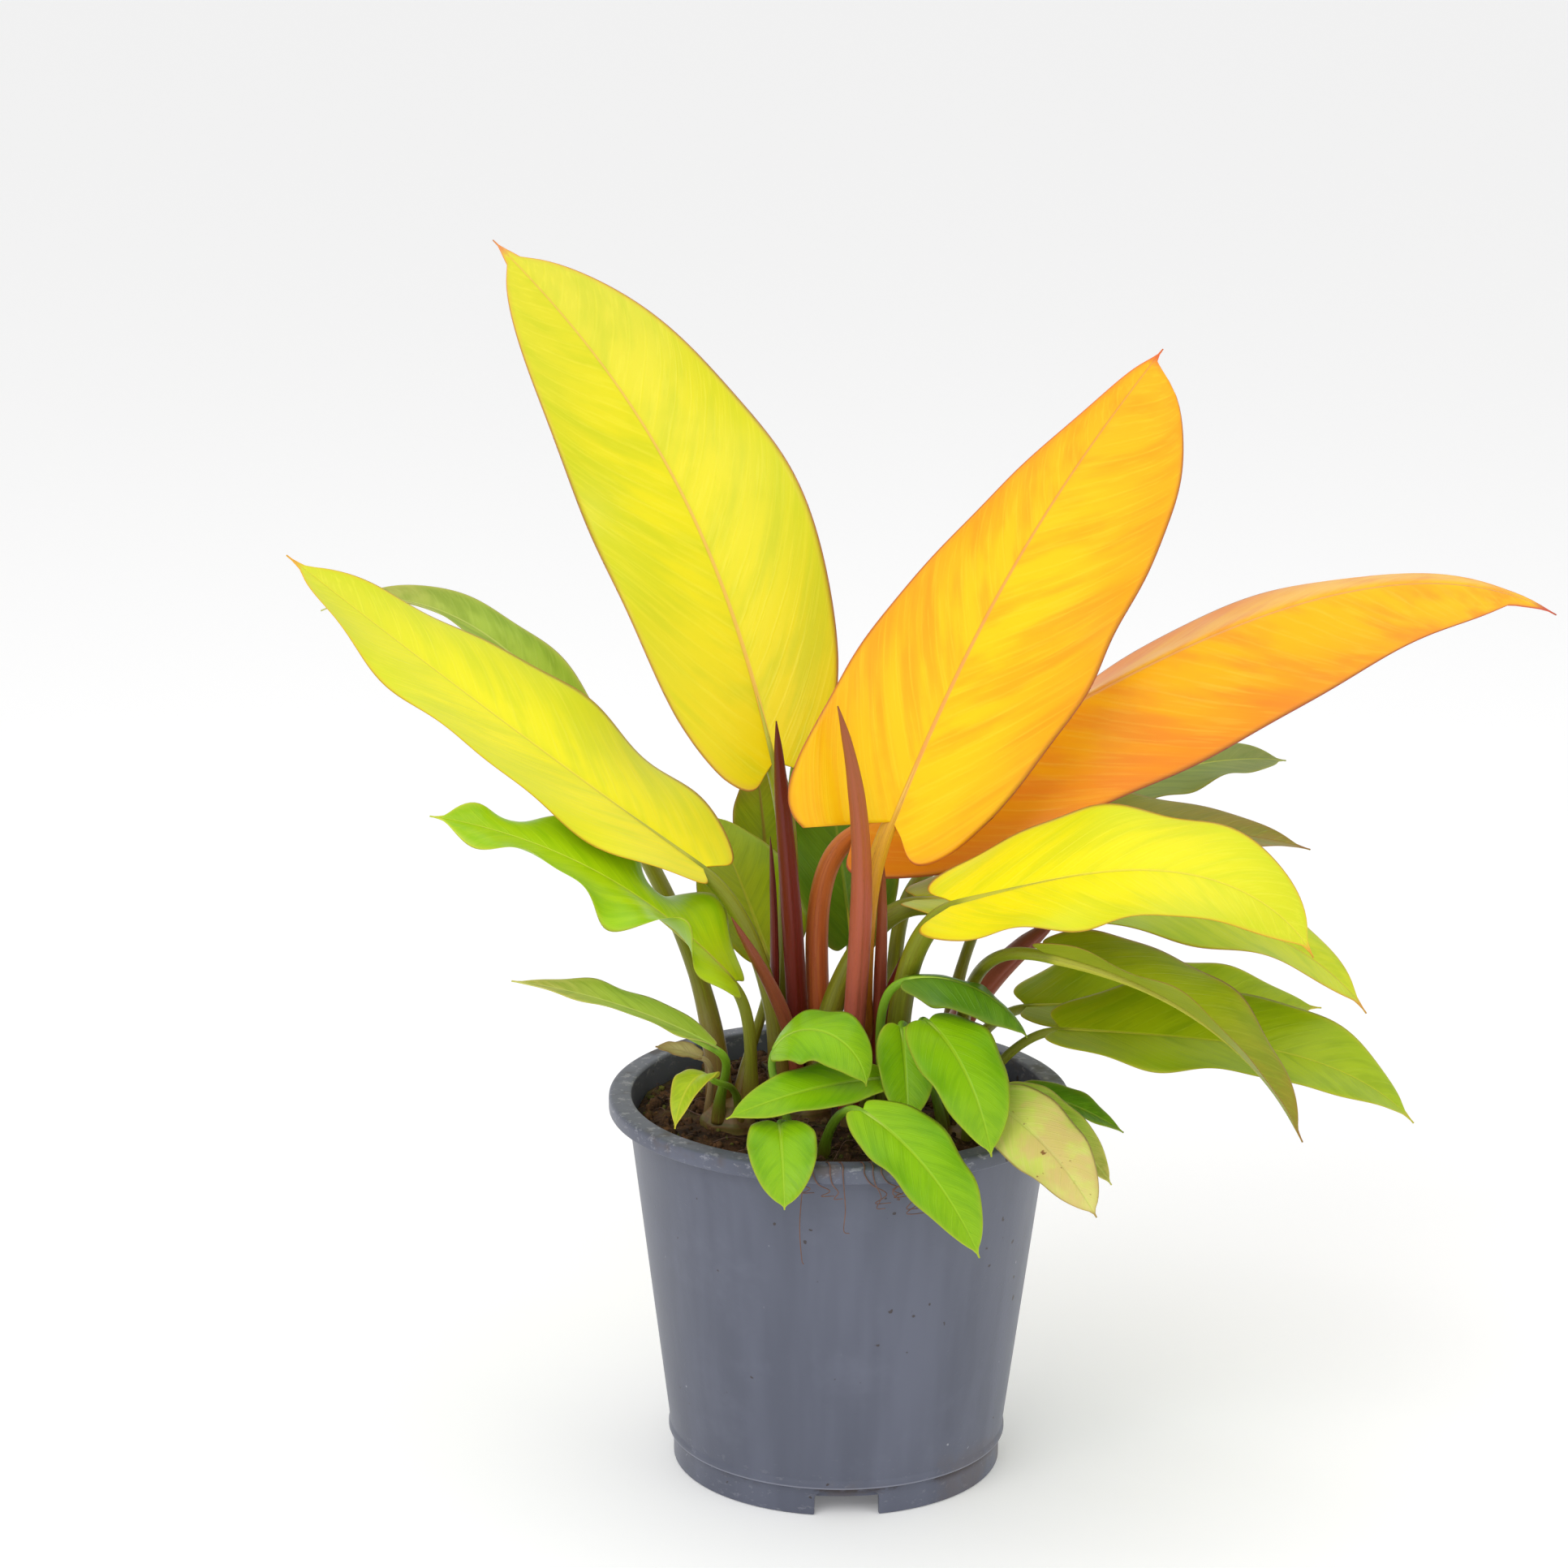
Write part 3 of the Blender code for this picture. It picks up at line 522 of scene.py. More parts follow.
def stalk_skin(name, colours):
    """A stalk's skin, from the foot up, with fine lines and freckles along it."""
    foot, middle, top, keel = (shade(*colour) for colour in colours)
    skin = Skin(name, 0.34, **{
        "Subsurface Weight": 0.08,
        "Subsurface Radius": (0.003, 0.002, 0.001),
        "Specular IOR Level": 0.35,
    })
    across, other, along = skin.mark("edge_place")
    lines = skin.noise(skin.combine(across * 2.6, other * 2.6, along * 1.6), 1.6, 3, 0.6)
    freckles = skin.noise(skin.combine(across * 5, other * 5, along * 22), 2.2, 2, 0.6)
    colour = skin.mix(skin.smooth(along, 0.0, 0.4), foot, middle)
    colour = skin.mix(skin.smooth(along, 0.45, 1.0), colour, top)
    colour = skin.mix(skin.smooth(along, 1.0, 1.05), colour, keel)
    colour = skin.mix(skin.smooth(lines, 0.45, 0.8) * 0.5, colour, foot)
    colour = skin.mix(skin.smooth(freckles, 0.62, 0.74) * 0.35, colour, shade(84, 60, 26))
    colour = skin.mix(skin.smooth(lines, 0.5, 0.25) * 0.25, colour, keel)
    return skin.finish(colour, lines * 0.5 + freckles * 0.4, 0.3 * MM, lines * 0.2 + 0.26)


def pot_skin():
    """Grey-blue moulded plastic with faint upright streaks, scuffs, dried soil and a painted ledge
    highlight.
    """
    skin = Skin("pot_plastic", 0.42, **{"Specular IOR Level": 0.4})
    place = skin.place()
    x, y, z = skin.split(place)
    streaks = skin.noise(skin.combine(x * 42, y * 42, z * 3), 1, 3, 0.6)
    cloud = skin.noise(place, 28, 4, 0.65)
    grain = skin.noise(place, 900, 2, 0.5)
    specks = skin.noise(place, 210, 2, 0.4)
    colour = skin.mix(skin.smooth(streaks, 0.35, 0.7), shade(84, 88, 103), shade(96, 100, 116))
    colour = skin.mix(skin.smooth(cloud, 0.5, 0.75) * 0.35, colour, shade(108, 112, 128))
    near_foot = skin.smooth(z, 30 * MM, 4 * MM)
    near_lip = skin.smooth(z, POT_HEIGHT - 9 * MM, POT_HEIGHT - 1 * MM)
    worn = skin.noise(skin.combine(x * 260, y * 260, z * 520), 1, 3, 0.7)
    scuffs = skin.smooth(worn + near_foot * 0.03 + near_lip * 0.06, 0.6, 0.72)
    colour = skin.mix(scuffs * (near_foot * 0.2 + near_lip * 0.5), colour, shade(160, 160, 168))
    soiled = skin.smooth(cloud + near_lip * 0.12 + near_foot * 0.1, 0.62, 0.74)
    colour = skin.mix(soiled * (near_lip * 0.5 + near_foot * 0.35), colour, shade(92, 76, 60))
    # Darker patches in a band just under the foot ledge.
    under_ledge = skin.smooth(z, FOOT_RING_HEIGHT - 4 * MM, FOOT_RING_HEIGHT - 1 * MM)
    under_ledge = under_ledge * skin.smooth(z, FOOT_RING_HEIGHT, FOOT_RING_HEIGHT - 0.6 * MM)
    under_ledge_darkening = skin.smooth(cloud + worn * 0.5, 0.68, 0.86) * under_ledge
    colour = skin.mix(under_ledge_darkening * 0.8, colour, shade(54, 44, 44))
    # Painted highlight: a thin pale band along the edge of the foot ledge.
    ledge_highlight = skin.smooth(abs(z - FOOT_RING_HEIGHT), 0.8 * MM, 0.2 * MM)
    colour = skin.mix(ledge_highlight * 0.5, colour, shade(158, 160, 174))
    colour = skin.mix(skin.smooth(specks, 0.74, 0.77) * 0.8, colour, shade(58, 46, 38))
    colour = skin.mix(skin.smooth(specks, 0.23, 0.2) * 0.5, colour, shade(190, 190, 196))
    rough = cloud * 0.2 + soiled * near_lip * 0.3 + 0.3
    return skin.finish(colour, grain * 0.25 + cloud * 0.2 + scuffs * 0.3, 0.12 * MM, rough)


def soil_skin(name, dark, light, moss):
    """Damp peat: dark crumbs, paler fibres and, in patches, moss."""
    skin = Skin(name, 0.92, **{"Specular IOR Level": 0.25})
    place = skin.place()
    lumps = skin.noise(place, 160, 5, 0.7)
    patch = skin.noise(place, 34, 3, 0.6)
    grit = skin.noise(place, 700, 3, 0.6)
    colour = skin.mix(skin.smooth(lumps, 0.35, 0.7), dark, light)
    colour = skin.mix(skin.smooth(grit, 0.62, 0.72) * 0.5, colour, shade(150, 112, 74))
    colour = skin.mix(skin.smooth(patch, 0.52, 0.66) * moss, colour, shade(96, 104, 42))
    return skin.finish(colour, lumps * 1.4 + grit * 0.5, 0.8 * MM)


def stem_skin():
    """A stem stub: olive-brown, ringed with old leaf scars."""
    skin = Skin("stem_tissue", 0.5)
    place = skin.place()
    x, y, z = skin.split(place)
    rings = skin.noise(skin.combine(x * 30, y * 30, z * 420), 1, 3, 0.6)
    patch = skin.noise(place, 120, 3, 0.6)
    colour = skin.mix(skin.smooth(rings, 0.4, 0.65), shade(98, 92, 34), shade(130, 96, 56))
    colour = skin.mix(skin.smooth(patch, 0.5, 0.65) * 0.7, colour, shade(92, 58, 34))
    return skin.finish(colour, rings * 0.8 + patch * 0.5, 0.5 * MM)


def root_skin():
    """Fine pale-brown roots."""
    skin = Skin("fine_root", 0.7)
    tone = skin.noise(skin.place(), 260, 3, 0.6)
    return skin.finish(skin.mix(tone, shade(70, 48, 42), shade(136, 100, 86)))


# Mesh making

class Shell:
    """Closed surfaces gathered into one mesh object.

    A surface is a grid of points whose columns run round and meet, and whose first and last
    rows each close on a pole at their middle. Faces are turned to point outward. Each point
    carries two marks of three numbers, which the skins read.
    """

    MARKS = ("vein_place", "edge_place")

    def __init__(self, name):
        self.name = name
        self.points = []
        self.marks = {mark: [] for mark in self.MARKS}
        self.corners = []
        self.sizes = []
        self.skins = []
        self.count = 0

    def add(self, grids, skin=0, vein_place=None, edge_place=None):
        """Add surfaces of one grid shape: grids is (surfaces, rows, columns, 3)."""
        grids = grids[None] if grids.ndim == 3 else grids
        surfaces, rows, columns = grids.shape[:3]
        each = rows * columns + 2
        index = np.arange(rows * columns).reshape(rows, columns)
        after = np.roll(index, -1, axis=1)
        quads = np.stack([index[:-1], after[:-1], after[1:], index[1:]], axis=-1).reshape(-1, 4)
        first = np.stack([index[0], np.full(columns, each - 2), after[0]], axis=-1)
        last = np.stack([index[-1], after[-1], np.full(columns, each - 1)], axis=-1)
        fans = np.concatenate([first, last])
        points = self.with_poles(grids)
        if self.volume(points[0], quads, fans) < 0:
            quads, fans = quads[:, ::-1], fans[:, ::-1]
        starts = self.count + each * np.arange(surfaces)[:, None]
        self.corners.append((starts + quads.ravel()).ravel())
        self.sizes.append(np.full(surfaces * len(quads), 4))
        self.corners.append((starts + fans.ravel()).ravel())
        self.sizes.append(np.full(surfaces * len(fans), 3))
        self.skins.append(np.full(surfaces * (len(quads) + len(fans)), skin))
        self.points.append(points.reshape(-1, 3))
        for mark, values in zip(self.MARKS, (vein_place, edge_place)):
            values = np.zeros(grids.shape) if values is None else values
            values = np.broadcast_to(values, grids.shape)
            self.marks[mark].append(self.with_poles(values).reshape(-1, 3))
        self.count += surfaces * each

    @staticmethod
    def with_poles(grids):
        flat = grids.reshape(grids.shape[0], -1, 3)
        ends = grids[:, [0, -1]].mean(axis=2)
        return np.concatenate([flat, ends], axis=1)

    @staticmethod
    def volume(points, quads, fans):
        """Six times the volume inside, which is negative when the faces point inward."""
        centred = points - points.mean(axis=0)
        triangles = np.concatenate([quads[:, [0, 1, 2]], quads[:, [0, 2, 3]], fans])
        a, b, c = (centred[triangles[:, corner]] for corner in range(3))
        return np.einsum("ij,ij->", a, np.cross(b, c))

    def build(self, skins, slot, *nodes, sharp=None):
        """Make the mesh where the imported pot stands, riding on the root."""
        points = np.concatenate(self.points) + POT_PLACE
        corners = np.concatenate(self.corners)
        sizes = np.concatenate(self.sizes)
        mesh = bpy.data.meshes.new(self.name)
        mesh.vertices.add(len(points))
        mesh.vertices.foreach_set("co", points.ravel())
        mesh.loops.add(len(corners))
        mesh.loops.foreach_set("vertex_index", corners)
        mesh.polygons.add(len(sizes))
        mesh.polygons.foreach_set("loop_start", np.cumsum(sizes) - sizes)
        mesh.polygons.foreach_set("material_index", np.concatenate(self.skins))
        mesh.update(calc_edges=True)
        mesh.shade_smooth()
        if sharp:
            mesh.set_sharp_from_angle(angle=math.radians(sharp))
        for mark, values in self.marks.items():
            layer = mesh.attributes.new(mark, "FLOAT_VECTOR", "POINT")
            layer.data.foreach_set("vector", np.concatenate(values).ravel())
        for skin in skins:
            mesh.materials.append(skin)
        made = bpy.data.objects.new(self.name, mesh)
        bpy.context.scene.collection.objects.link(made)
        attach(made, ROOT)
        if nodes:
            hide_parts(*nodes)
        return made


def bezier(start, start_pull, end_pull, end, steps):
    share = np.linspace(0, 1, steps)[:, None]
    rest = 1 - share
    first = rest ** 3 * start + 3 * rest ** 2 * share * start_pull
    return first + 3 * rest * share ** 2 * end_pull + share ** 3 * end


def along_path(path):
    """Each point's share of the way along a path."""
    steps = np.linalg.norm(np.diff(path, axis=0), axis=1)
    return np.concatenate([[0], np.cumsum(steps)]) / steps.sum()


def carried(path, radii, section):
    """A section carried along a path without twisting.

    A section is (columns, 2) or (rows, columns, 2) in units of the radius. The frame at
    each row starts from one fixed direction and has the part along the tangent taken out.
    """
    tangents = np.gradient(path, axis=0)
    tangents /= np.linalg.norm(tangents, axis=1)[:, None]
    fixed = np.array([0.35, -0.93, 0.1])
    across = fixed - tangents * (tangents @ fixed)[:, None]
    across /= np.linalg.norm(across, axis=1)[:, None]
    other = np.cross(tangents, across)
    section = np.broadcast_to(section, (len(path), *section.shape[-2:]))
    spread = section[..., :1] * across[:, None] + section[..., 1:] * other[:, None]
    return path[:, None] + radii[:, None, None] * spread


def scattered_waves(seed, count, finest):
    """Random plane waves, the finer the weaker: (wave vectors, phases, strengths)."""
    random = np.random.default_rng(seed)
    size = np.exp(random.uniform(math.log(60), math.log(finest), count))
    turn = random.uniform(0, 2 * math.pi, count)
    vectors = size[:, None] * np.stack([np.cos(turn), np.sin(turn)], axis=1)
    return vectors, random.uniform(0, 2 * math.pi, count), 60 / size


def rough_ground(x, y, waves):
    """The sum of plane waves over the ground, about -1 to 1."""
    vectors, phases, strengths = waves
    angle = x[..., None] * vectors[:, 0] + y[..., None] * vectors[:, 1] + phases
    return (np.sin(angle) * strengths).sum(axis=-1) / np.sqrt((strengths ** 2).sum() / 2) / 2


# Leaves

def crown_top(crown):
    return SOIL_HEIGHT + crown.rise * GROWN_MM


def foot_of(crown_name, bearing):
    """Where a stalk stands on its crown."""
    crown = CROWNS[crown_name]
    x, y = crown.place
    if bearing is not ON_AXIS:
        turn = math.radians(bearing)
        x += crown.ring * math.cos(turn)
        y += crown.ring * math.sin(turn)
    return np.array([x * GROWN_MM, y * GROWN_MM, crown_top(crown) + CLEARANCE])


def over_rim(place):
    """A point of the plant, in grown millimetres with its height over the rim."""
    x, y, height = place
    return np.array([x * GROWN_MM, y * GROWN_MM, POT_HEIGHT + height * GROWN_MM])


def direction(heading, rise):
    heading, rise = math.radians(heading), math.radians(rise)
    flat = math.cos(rise)
    return np.array([flat * math.cos(heading), flat * math.sin(heading), math.sin(rise)])


class Midrib:
    """The blade's midrib as a curve with a side and a normal at each point.

    The direction turns from the first rise to the second along the length, and the point
    is the running sum of the direction. Side and normal are turned by the roll.
    """

    STEPS = 240

    def __init__(self, leaf):
        self.length = leaf.length * GROWN_MM
        self.share = np.linspace(0, 1, self.STEPS)
        rise = np.radians(leaf.rise[0] + np.diff(leaf.rise) * self.share ** leaf.bend)
        roll = np.radians(leaf.roll[0] + np.diff(leaf.roll) * self.share)[:, None]
        heading = math.radians(leaf.heading)
        flat = np.cos(rise)
        parts = [flat * math.cos(heading), flat * math.sin(heading), np.sin(rise)]
        self.tangent = np.stack(parts, axis=1)
        level = np.array([math.sin(heading), -math.cos(heading), 0])
        upright = np.cross(level, self.tangent)
        self.side = level * np.cos(roll) - upright * np.sin(roll)
        self.normal = upright * np.cos(roll) + level * np.sin(roll)
        between = (self.tangent[1:] + self.tangent[:-1]) / 2
        travel = np.cumsum(between, axis=0) * self.length / (self.STEPS - 1)
        bow = leaf.bow * self.length * np.sin(math.pi * self.share)[:, None]
        self.point = over_rim(leaf.joint) + np.vstack([np.zeros(3), travel]) + bow * self.side

    def read(self, values, distance):
        """Look a curve's values up at distances along the midrib."""
        share = np.clip(distance / self.length, 0, 1)
        columns = [np.interp(share, self.share, values[:, axis]) for axis in range(3)]
        return np.stack(columns, axis=-1)

    def place(self, distance, side, lift):
        """Points at a distance along, to the side of and above the midrib."""
        inside = np.clip(distance, 0, self.length)
        beyond = (distance - inside)[..., None]
        point = self.read(self.point, distance) + beyond * self.read(self.tangent, distance)
        point += side[..., None] * self.read(self.side, distance)
        return point + lift[..., None] * self.read(self.normal, distance)


def blade_outline(leaf, shape, share):
    """Distance along the midrib and half width of the margin, from the lobe to the tip.

    The half width is share^a * (1 - share)^b, scaled to 1 at its widest. The tip's tail
    adds w * x^2 / (1 + x^2), where x is the share left to the tip over the tail's reach.
    Near the midrib the margin returns from the lobe to the joint.
    """
    base, tip = SHAPES[shape]
    body = np.clip(share / (1 - leaf.tail), 0, 1)
    widest = base / (base + tip)
    peak = widest ** base * (1 - widest) ** tip
    left = ((1 - share) / TAIL_REACH) ** 2
    tail = TAIL_WIDTH * left / (1 + left) * np.minimum(1, 6 * share)
    half = np.hypot(body ** base * (1 - body) ** tip / peak, tail)
    back = leaf.lobe * np.exp(-(half / LOBE_WIDTH) ** 2) * (share < widest)
    along = ((1 + leaf.lobe) * share - leaf.lobe + back) * leaf.length * GROWN_MM
    half_width = half * leaf.width / 2 * GROWN_MM
    return along, np.maximum(half_width, BLADE_END_WIDTH / 2)


def add_blade(shell, leaf, midrib, seed):
    """A blade as a closed sheet: over the top from margin to margin and back underneath.

    Rows fan out from the midrib to the margin. The height over the midrib is a soft V of
    the fold, plus margin waves that grow with the reach cubed, plus a slight quilting
    between the side veins, less a groove along the midrib.
    """
    big = leaf.length > BIG_LEAF
    rows = np.linspace(0, 1, 121 if big else 65)
    halves = np.linspace(-1, 1, 37 if big else 23)
    columns = len(halves)
    around = np.concatenate([halves, halves[-2:0:-1]])[None, :]
    top = np.concatenate([np.ones(columns), np.zeros(columns - 2)])[None, :]
    left = around < 0
    share = (rows ** 2 + rows) / 2
    halves = [blade_outline(leaf, shape, share) for shape in leaf.shape]
    (left_margin, left_width), (right_margin, right_width) = halves
    margin = np.where(left, left_margin[:, None], right_margin[:, None])
    half_width = np.where(left, left_width[:, None], right_width[:, None])
    reach = np.abs(around)
    outward = reach ** FAN_POWER
    centre = (rows ** CROWDING_POWER * midrib.length)[:, None]
    distance = centre * (1 - outward) + margin * outward
    side = half_width * around
    width = leaf.width / 2 * GROWN_MM
    vein = (distance - VEIN_SLANT * np.abs(side) * (1 + 0.35 * reach ** 2)) / midrib.length
    random = np.random.default_rng(seed)
    phases = random.uniform(0, 1, 4)
    left_fold = leaf.left_fold or (leaf.fold, leaf.fold)
    left_folds = np.interp(rows, [0, 1], left_fold)[:, None]
    fold = np.radians(np.where(left, left_folds, leaf.fold))
    crease = 0.08 * width
    lift = (np.hypot(side, crease) - crease) * np.sin(fold)
    turn = leaf.waves * distance / midrib.length + np.where(left, phases[0], phases[1])
    second = 1.7 * leaf.waves * distance / midrib.length + np.where(left, phases[2], phases[3])
    wave = np.sin(2 * math.pi * turn) + 0.5 * np.sin(2 * math.pi * second)
    lift = lift + leaf.ripple * half_width * reach ** 2.6 * wave
    veins = vein_count(leaf)
    quilt = np.abs(np.sin(math.pi * veins * vein)) * reach ** 0.7 * (1 - reach ** 3)
    lift = lift + 0.008 * half_width * quilt
    groove = 0.5 * MM * np.exp(-(side / (1.6 * MM)) ** 2) * (1 - rows[:, None])
    thickness = BLADE_THICKNESS / 2 * np.sqrt(np.clip(1 - reach ** 6, 0, 1))
    lift = lift + thickness * np.where(top > 0, 1, -1) - groove
    points = midrib.place(distance, side * np.cos(fold), lift)
    share = np.clip(distance / midrib.length, -0.2, 1)
    from_margin = (1 - reach) * half_width
    shape = (len(rows), around.shape[1])
    vein_place = [vein, around, top]
    edge_place = [np.abs(side) / MM, from_margin / MM, share]
    marks = [np.stack([np.broadcast_to(part, shape) for part in parts], axis=-1)
             for parts in (vein_place, edge_place)]
    shell.add(points, 0, *marks)


def vein_count(leaf):
    """Main side veins on each half, more on a longer leaf."""
    return 10 + round(leaf.length / 18)


def stalk_section(columns):
    """A round stalk with a flattened upper side: r = 1 - 0.14 * max(0, cos)^2."""
    angle = np.arange(columns) * 2 * math.pi / columns
    radius = 1 - 0.14 * np.maximum(0, np.cos(angle)) ** 2
    return np.stack([radius * np.cos(angle), radius * np.sin(angle)], axis=1)


def add_stalk(shell, leaf, midrib):
    """A stalk that rises from a sheathing foot to the joint and runs on as the keel."""
    foot = foot_of(leaf.crown, leaf.bearing) - UP * 6 * MM
    radius = leaf.stalk * GROWN_MM
    under = np.linspace(0, 0.9, 30) * midrib.length
    taper = 1 - under / midrib.length
    keel = radius * 0.8 * taper ** 1.6 + 0.12 * MM
    sink = keel * np.interp(taper, [0.8, 1], [0.97, 0.8])
    below = midrib.place(under, 0 * under, -sink)
    reach = np.linalg.norm(below[0] - foot)
    bend = foot + UP * reach * 0.4
    arrive = below[0] - midrib.tangent[0] * reach * 0.25
    rise = bezier(foot, bend, arrive, below[0], 40)
    share = along_path(rise)
    flare = min(1.6, 5.2 * GROWN_MM / radius)
    widths = radius * np.interp(share, [0, 0.12, 0.35, 0.9, 1], [flare, flare * 0.9, 1, 0.88, 0.8])
    path = np.vstack([rise, below[1:]])
    radii = np.concatenate([widths, keel[1:]])
    section = stalk_section(20)
    grid = carried(path, radii, section)
    along = np.concatenate([share, 1 + under[1:] / midrib.length])
    marks = np.zeros(grid.shape)
    marks[..., :2] = section
    marks[..., 2] = along[:, None]
    shell.add(grid, 1, marks * 0, marks)


def rolled_section(columns, flat):
    """A rolled leaf's section: the radius grows by a quarter round the turn, then steps back."""
    angle = np.arange(columns) * 2 * math.pi / columns
    share = np.arange(columns) / columns
    radius = 0.84 + 0.26 * share * np.minimum(1, (1 - share) * 14)
    return np.stack([radius * np.cos(angle), flat * radius * np.sin(angle)], axis=1)


def add_spear(shell, spear):
    """A pointed rolled rod: wide for most of its height, drawn out at the tip."""
    foot = foot_of(spear.crown, spear.bearing) - UP * 6 * MM
    tip = over_rim(spear.tip)
    reach = np.linalg.norm(tip - foot)
    bend = foot + UP * reach * 0.35
    arrive = tip - direction(*spear.lean) * reach * 0.35
    path = bezier(foot, bend, arrive, tip, 70)
    share = along_path(path)
    widths = np.interp(share, [0, 0.15, 0.5, 0.8, 0.93, 1], [1.15, 1.0, 1.0, 0.74, 0.4, 0.06])
    section = rolled_section(44, spear.flat)
    grid = carried(path, widths * spear.radius * GROWN_MM, section)
    marks = np.zeros(grid.shape)
    marks[..., :2] = section
    marks[..., 2] = share[:, None]
    shell.add(grid, 0, marks * 0, marks)


def make_leaves():
    slots = {part["node"]: part["material_slot"] for part in frame["record"]["subparts"]}
    stalks = {name: stalk_skin(name, colours) for name, colours in STALK_COLOURS.items()}
    for number, leaf in enumerate(LEAVES):
        shell = Shell(f"grown_{leaf.name}")
        midrib = Midrib(leaf)
        add_blade(shell, leaf, midrib, 100 + number)
        add_stalk(shell, leaf, midrib)
        blade = leaf_skin(f"{leaf.skin}_{number}", LEAF_COLOURS[leaf.skin],
                          vein_count(leaf), float(number))
        shell.build([blade, stalks[leaf.stalk_skin]], slots[leaf.name], leaf.name)
    for spear in SPEARS:
        shell = Shell(f"grown_{spear.name}")
        add_spear(shell, spear)
        shell.build([stalks[spear.skin]], slots[spear.name], spear.name)


def make_crowns():
    """Stem stubs: a turned form with three ridges of old leaf scars, lumpy round about."""
    skin = stem_skin()
    angle = np.arange(64) * 2 * math.pi / 64
    height = np.linspace(-9, 0, 28)
    for crown in CROWNS.values():
        x, y = crown.place
        z = np.interp(height, [-9, 0], [-9, crown.rise])
        share = (z + 9) / (crown.rise + 9)
        body = crown.radius * np.interp(share, [0, 0.3, 0.75, 1], [0.75, 1, 0.86, 0.55])
        ridges = 1 + 0.04 * np.abs(np.sin(z * 0.75))
        lumps = 1 + 0.06 * np.sin(3 * angle + x) + 0.04 * np.sin(7 * angle + y)
        radius = (body * ridges)[:, None] * lumps[None, :]
        heights = np.broadcast_to(z[:, None], radius.shape)
        parts = [x + radius * np.cos(angle), y + radius * np.sin(angle), heights]
        grid = np.stack(parts, axis=-1) * GROWN_MM
        grid[..., 2] += SOIL_HEIGHT
        shell = Shell(f"grown_{crown.name}")
        shell.add(grid)
        shell.build([skin], "stem_tissue", crown.name)


# Pot

def inner_radius(height):
    """The radius of the pot's inner wall at a height."""
    share = (height - FOOT_RING_HEIGHT) / (POT_HEIGHT - FOOT_RING_HEIGHT)
    return BODY_FOOT_RADIUS + (BODY_TOP_RADIUS - BODY_FOOT_RADIUS) * share - WALL


def rounded(corners, steps=5):
    """A section whose corners, given as (radius, height, rounding), are turned by arcs.

    An arc is drawn as a quadratic curve from a rounding before the corner to one after it.
    """
    points = np.array([corner[:2] for corner in corners], float)
    section = [points[:1]]
    share = np.linspace(0, 1, steps)[:, None]
    neighbours = zip(points, points[1:], points[2:], corners[1:])
    for before, corner, after, (_, _, rounding) in neighbours:
        if rounding == 0:
            section.append(corner[None])
            continue
        start = corner + (before - corner) * rounding / np.linalg.norm(before - corner)
        end = corner + (after - corner) * rounding / np.linalg.norm(after - corner)
        section.append((1 - share) ** 2 * start + 2 * share * (1 - share) * corner
                       + share ** 2 * end)
    section.append(points[-1:])
    return np.concatenate(section)


def pot_section():
    """Floor, wall, rolled-over rim and foot ring, from the floor's middle round to it again."""
    floor_top = FLOOR_HEIGHT + WALL
    under_rim = POT_HEIGHT - RIM_DEPTH
    skirt = RIM_RADIUS - WALL
    ring = FOOT_RADIUS - WALL
    bead = 0.7 * MM
    return rounded([
        (2 * MM, floor_top, 0),
        (inner_radius(floor_top), floor_top, 2 * MM),
        (inner_radius(POT_HEIGHT - 3 * MM), POT_HEIGHT - 3 * MM, 0),
        (inner_radius(POT_HEIGHT), POT_HEIGHT, 1.2 * MM),
        (RIM_RADIUS, POT_HEIGHT, 1.8 * MM),
        (RIM_RADIUS, under_rim, 0.8 * MM),
        (skirt, under_rim, 0.5 * MM),
        (skirt, POT_HEIGHT - WALL, 0.5 * MM),
        (BODY_TOP_RADIUS, POT_HEIGHT - WALL, 0.5 * MM),
        (BODY_FOOT_RADIUS + 0.15 * MM, FOOT_RING_HEIGHT + 3 * MM, 0.4 * MM),
        (BODY_FOOT_RADIUS + bead, FOOT_RING_HEIGHT + 1.6 * MM, 0.4 * MM),
        (BODY_FOOT_RADIUS + bead, FOOT_RING_HEIGHT, 0.4 * MM),
        (FOOT_RADIUS, FOOT_RING_HEIGHT - 0.6 * MM, 0.4 * MM),
        (FOOT_RADIUS, 0, 0.6 * MM),
        (ring, 0, 0.4 * MM),
        (ring, FLOOR_HEIGHT, 1 * MM),
        (2 * MM, FLOOR_HEIGHT, 0),
    ])


def notch_height(angle):
    """How high the notches cut into the foot ring at an angle round it.

    Inside a notch's width it is the notch height, less a quarter circle at each corner.
    """
    pitch = 2 * math.pi / NOTCH_COUNT
    turned = angle - math.radians(NOTCH_BEARING)
    off = np.abs((turned + pitch / 2) % pitch - pitch / 2) * FOOT_RADIUS
    half = NOTCH_WIDTH / 2
    corner = NOTCH_HEIGHT / 3
    into = np.clip(off - (half - corner), 0, corner)
    arch = NOTCH_HEIGHT - corner + np.sqrt(corner ** 2 - into ** 2)
    return np.where(off <= half, arch, 0)


def pot_angles():
    """Angles round the pot, with pairs close together at the notches' upright sides."""
    even = np.arange(240) * 2 * math.pi / 240
    middles = np.radians(NOTCH_BEARING + 360 / NOTCH_COUNT * np.arange(NOTCH_COUNT))
    half = NOTCH_WIDTH / 2 / FOOT_RADIUS
    corner = NOTCH_HEIGHT / 3 / FOOT_RADIUS
    offsets = half - corner * np.array([-0.02, 0.0, 0.05, 0.15, 0.35, 0.6, 1.0])
    sides = (middles[:, None] + np.concatenate([offsets, -offsets])).ravel()
    return np.unique(np.concatenate([even, sides % (2 * math.pi)]))


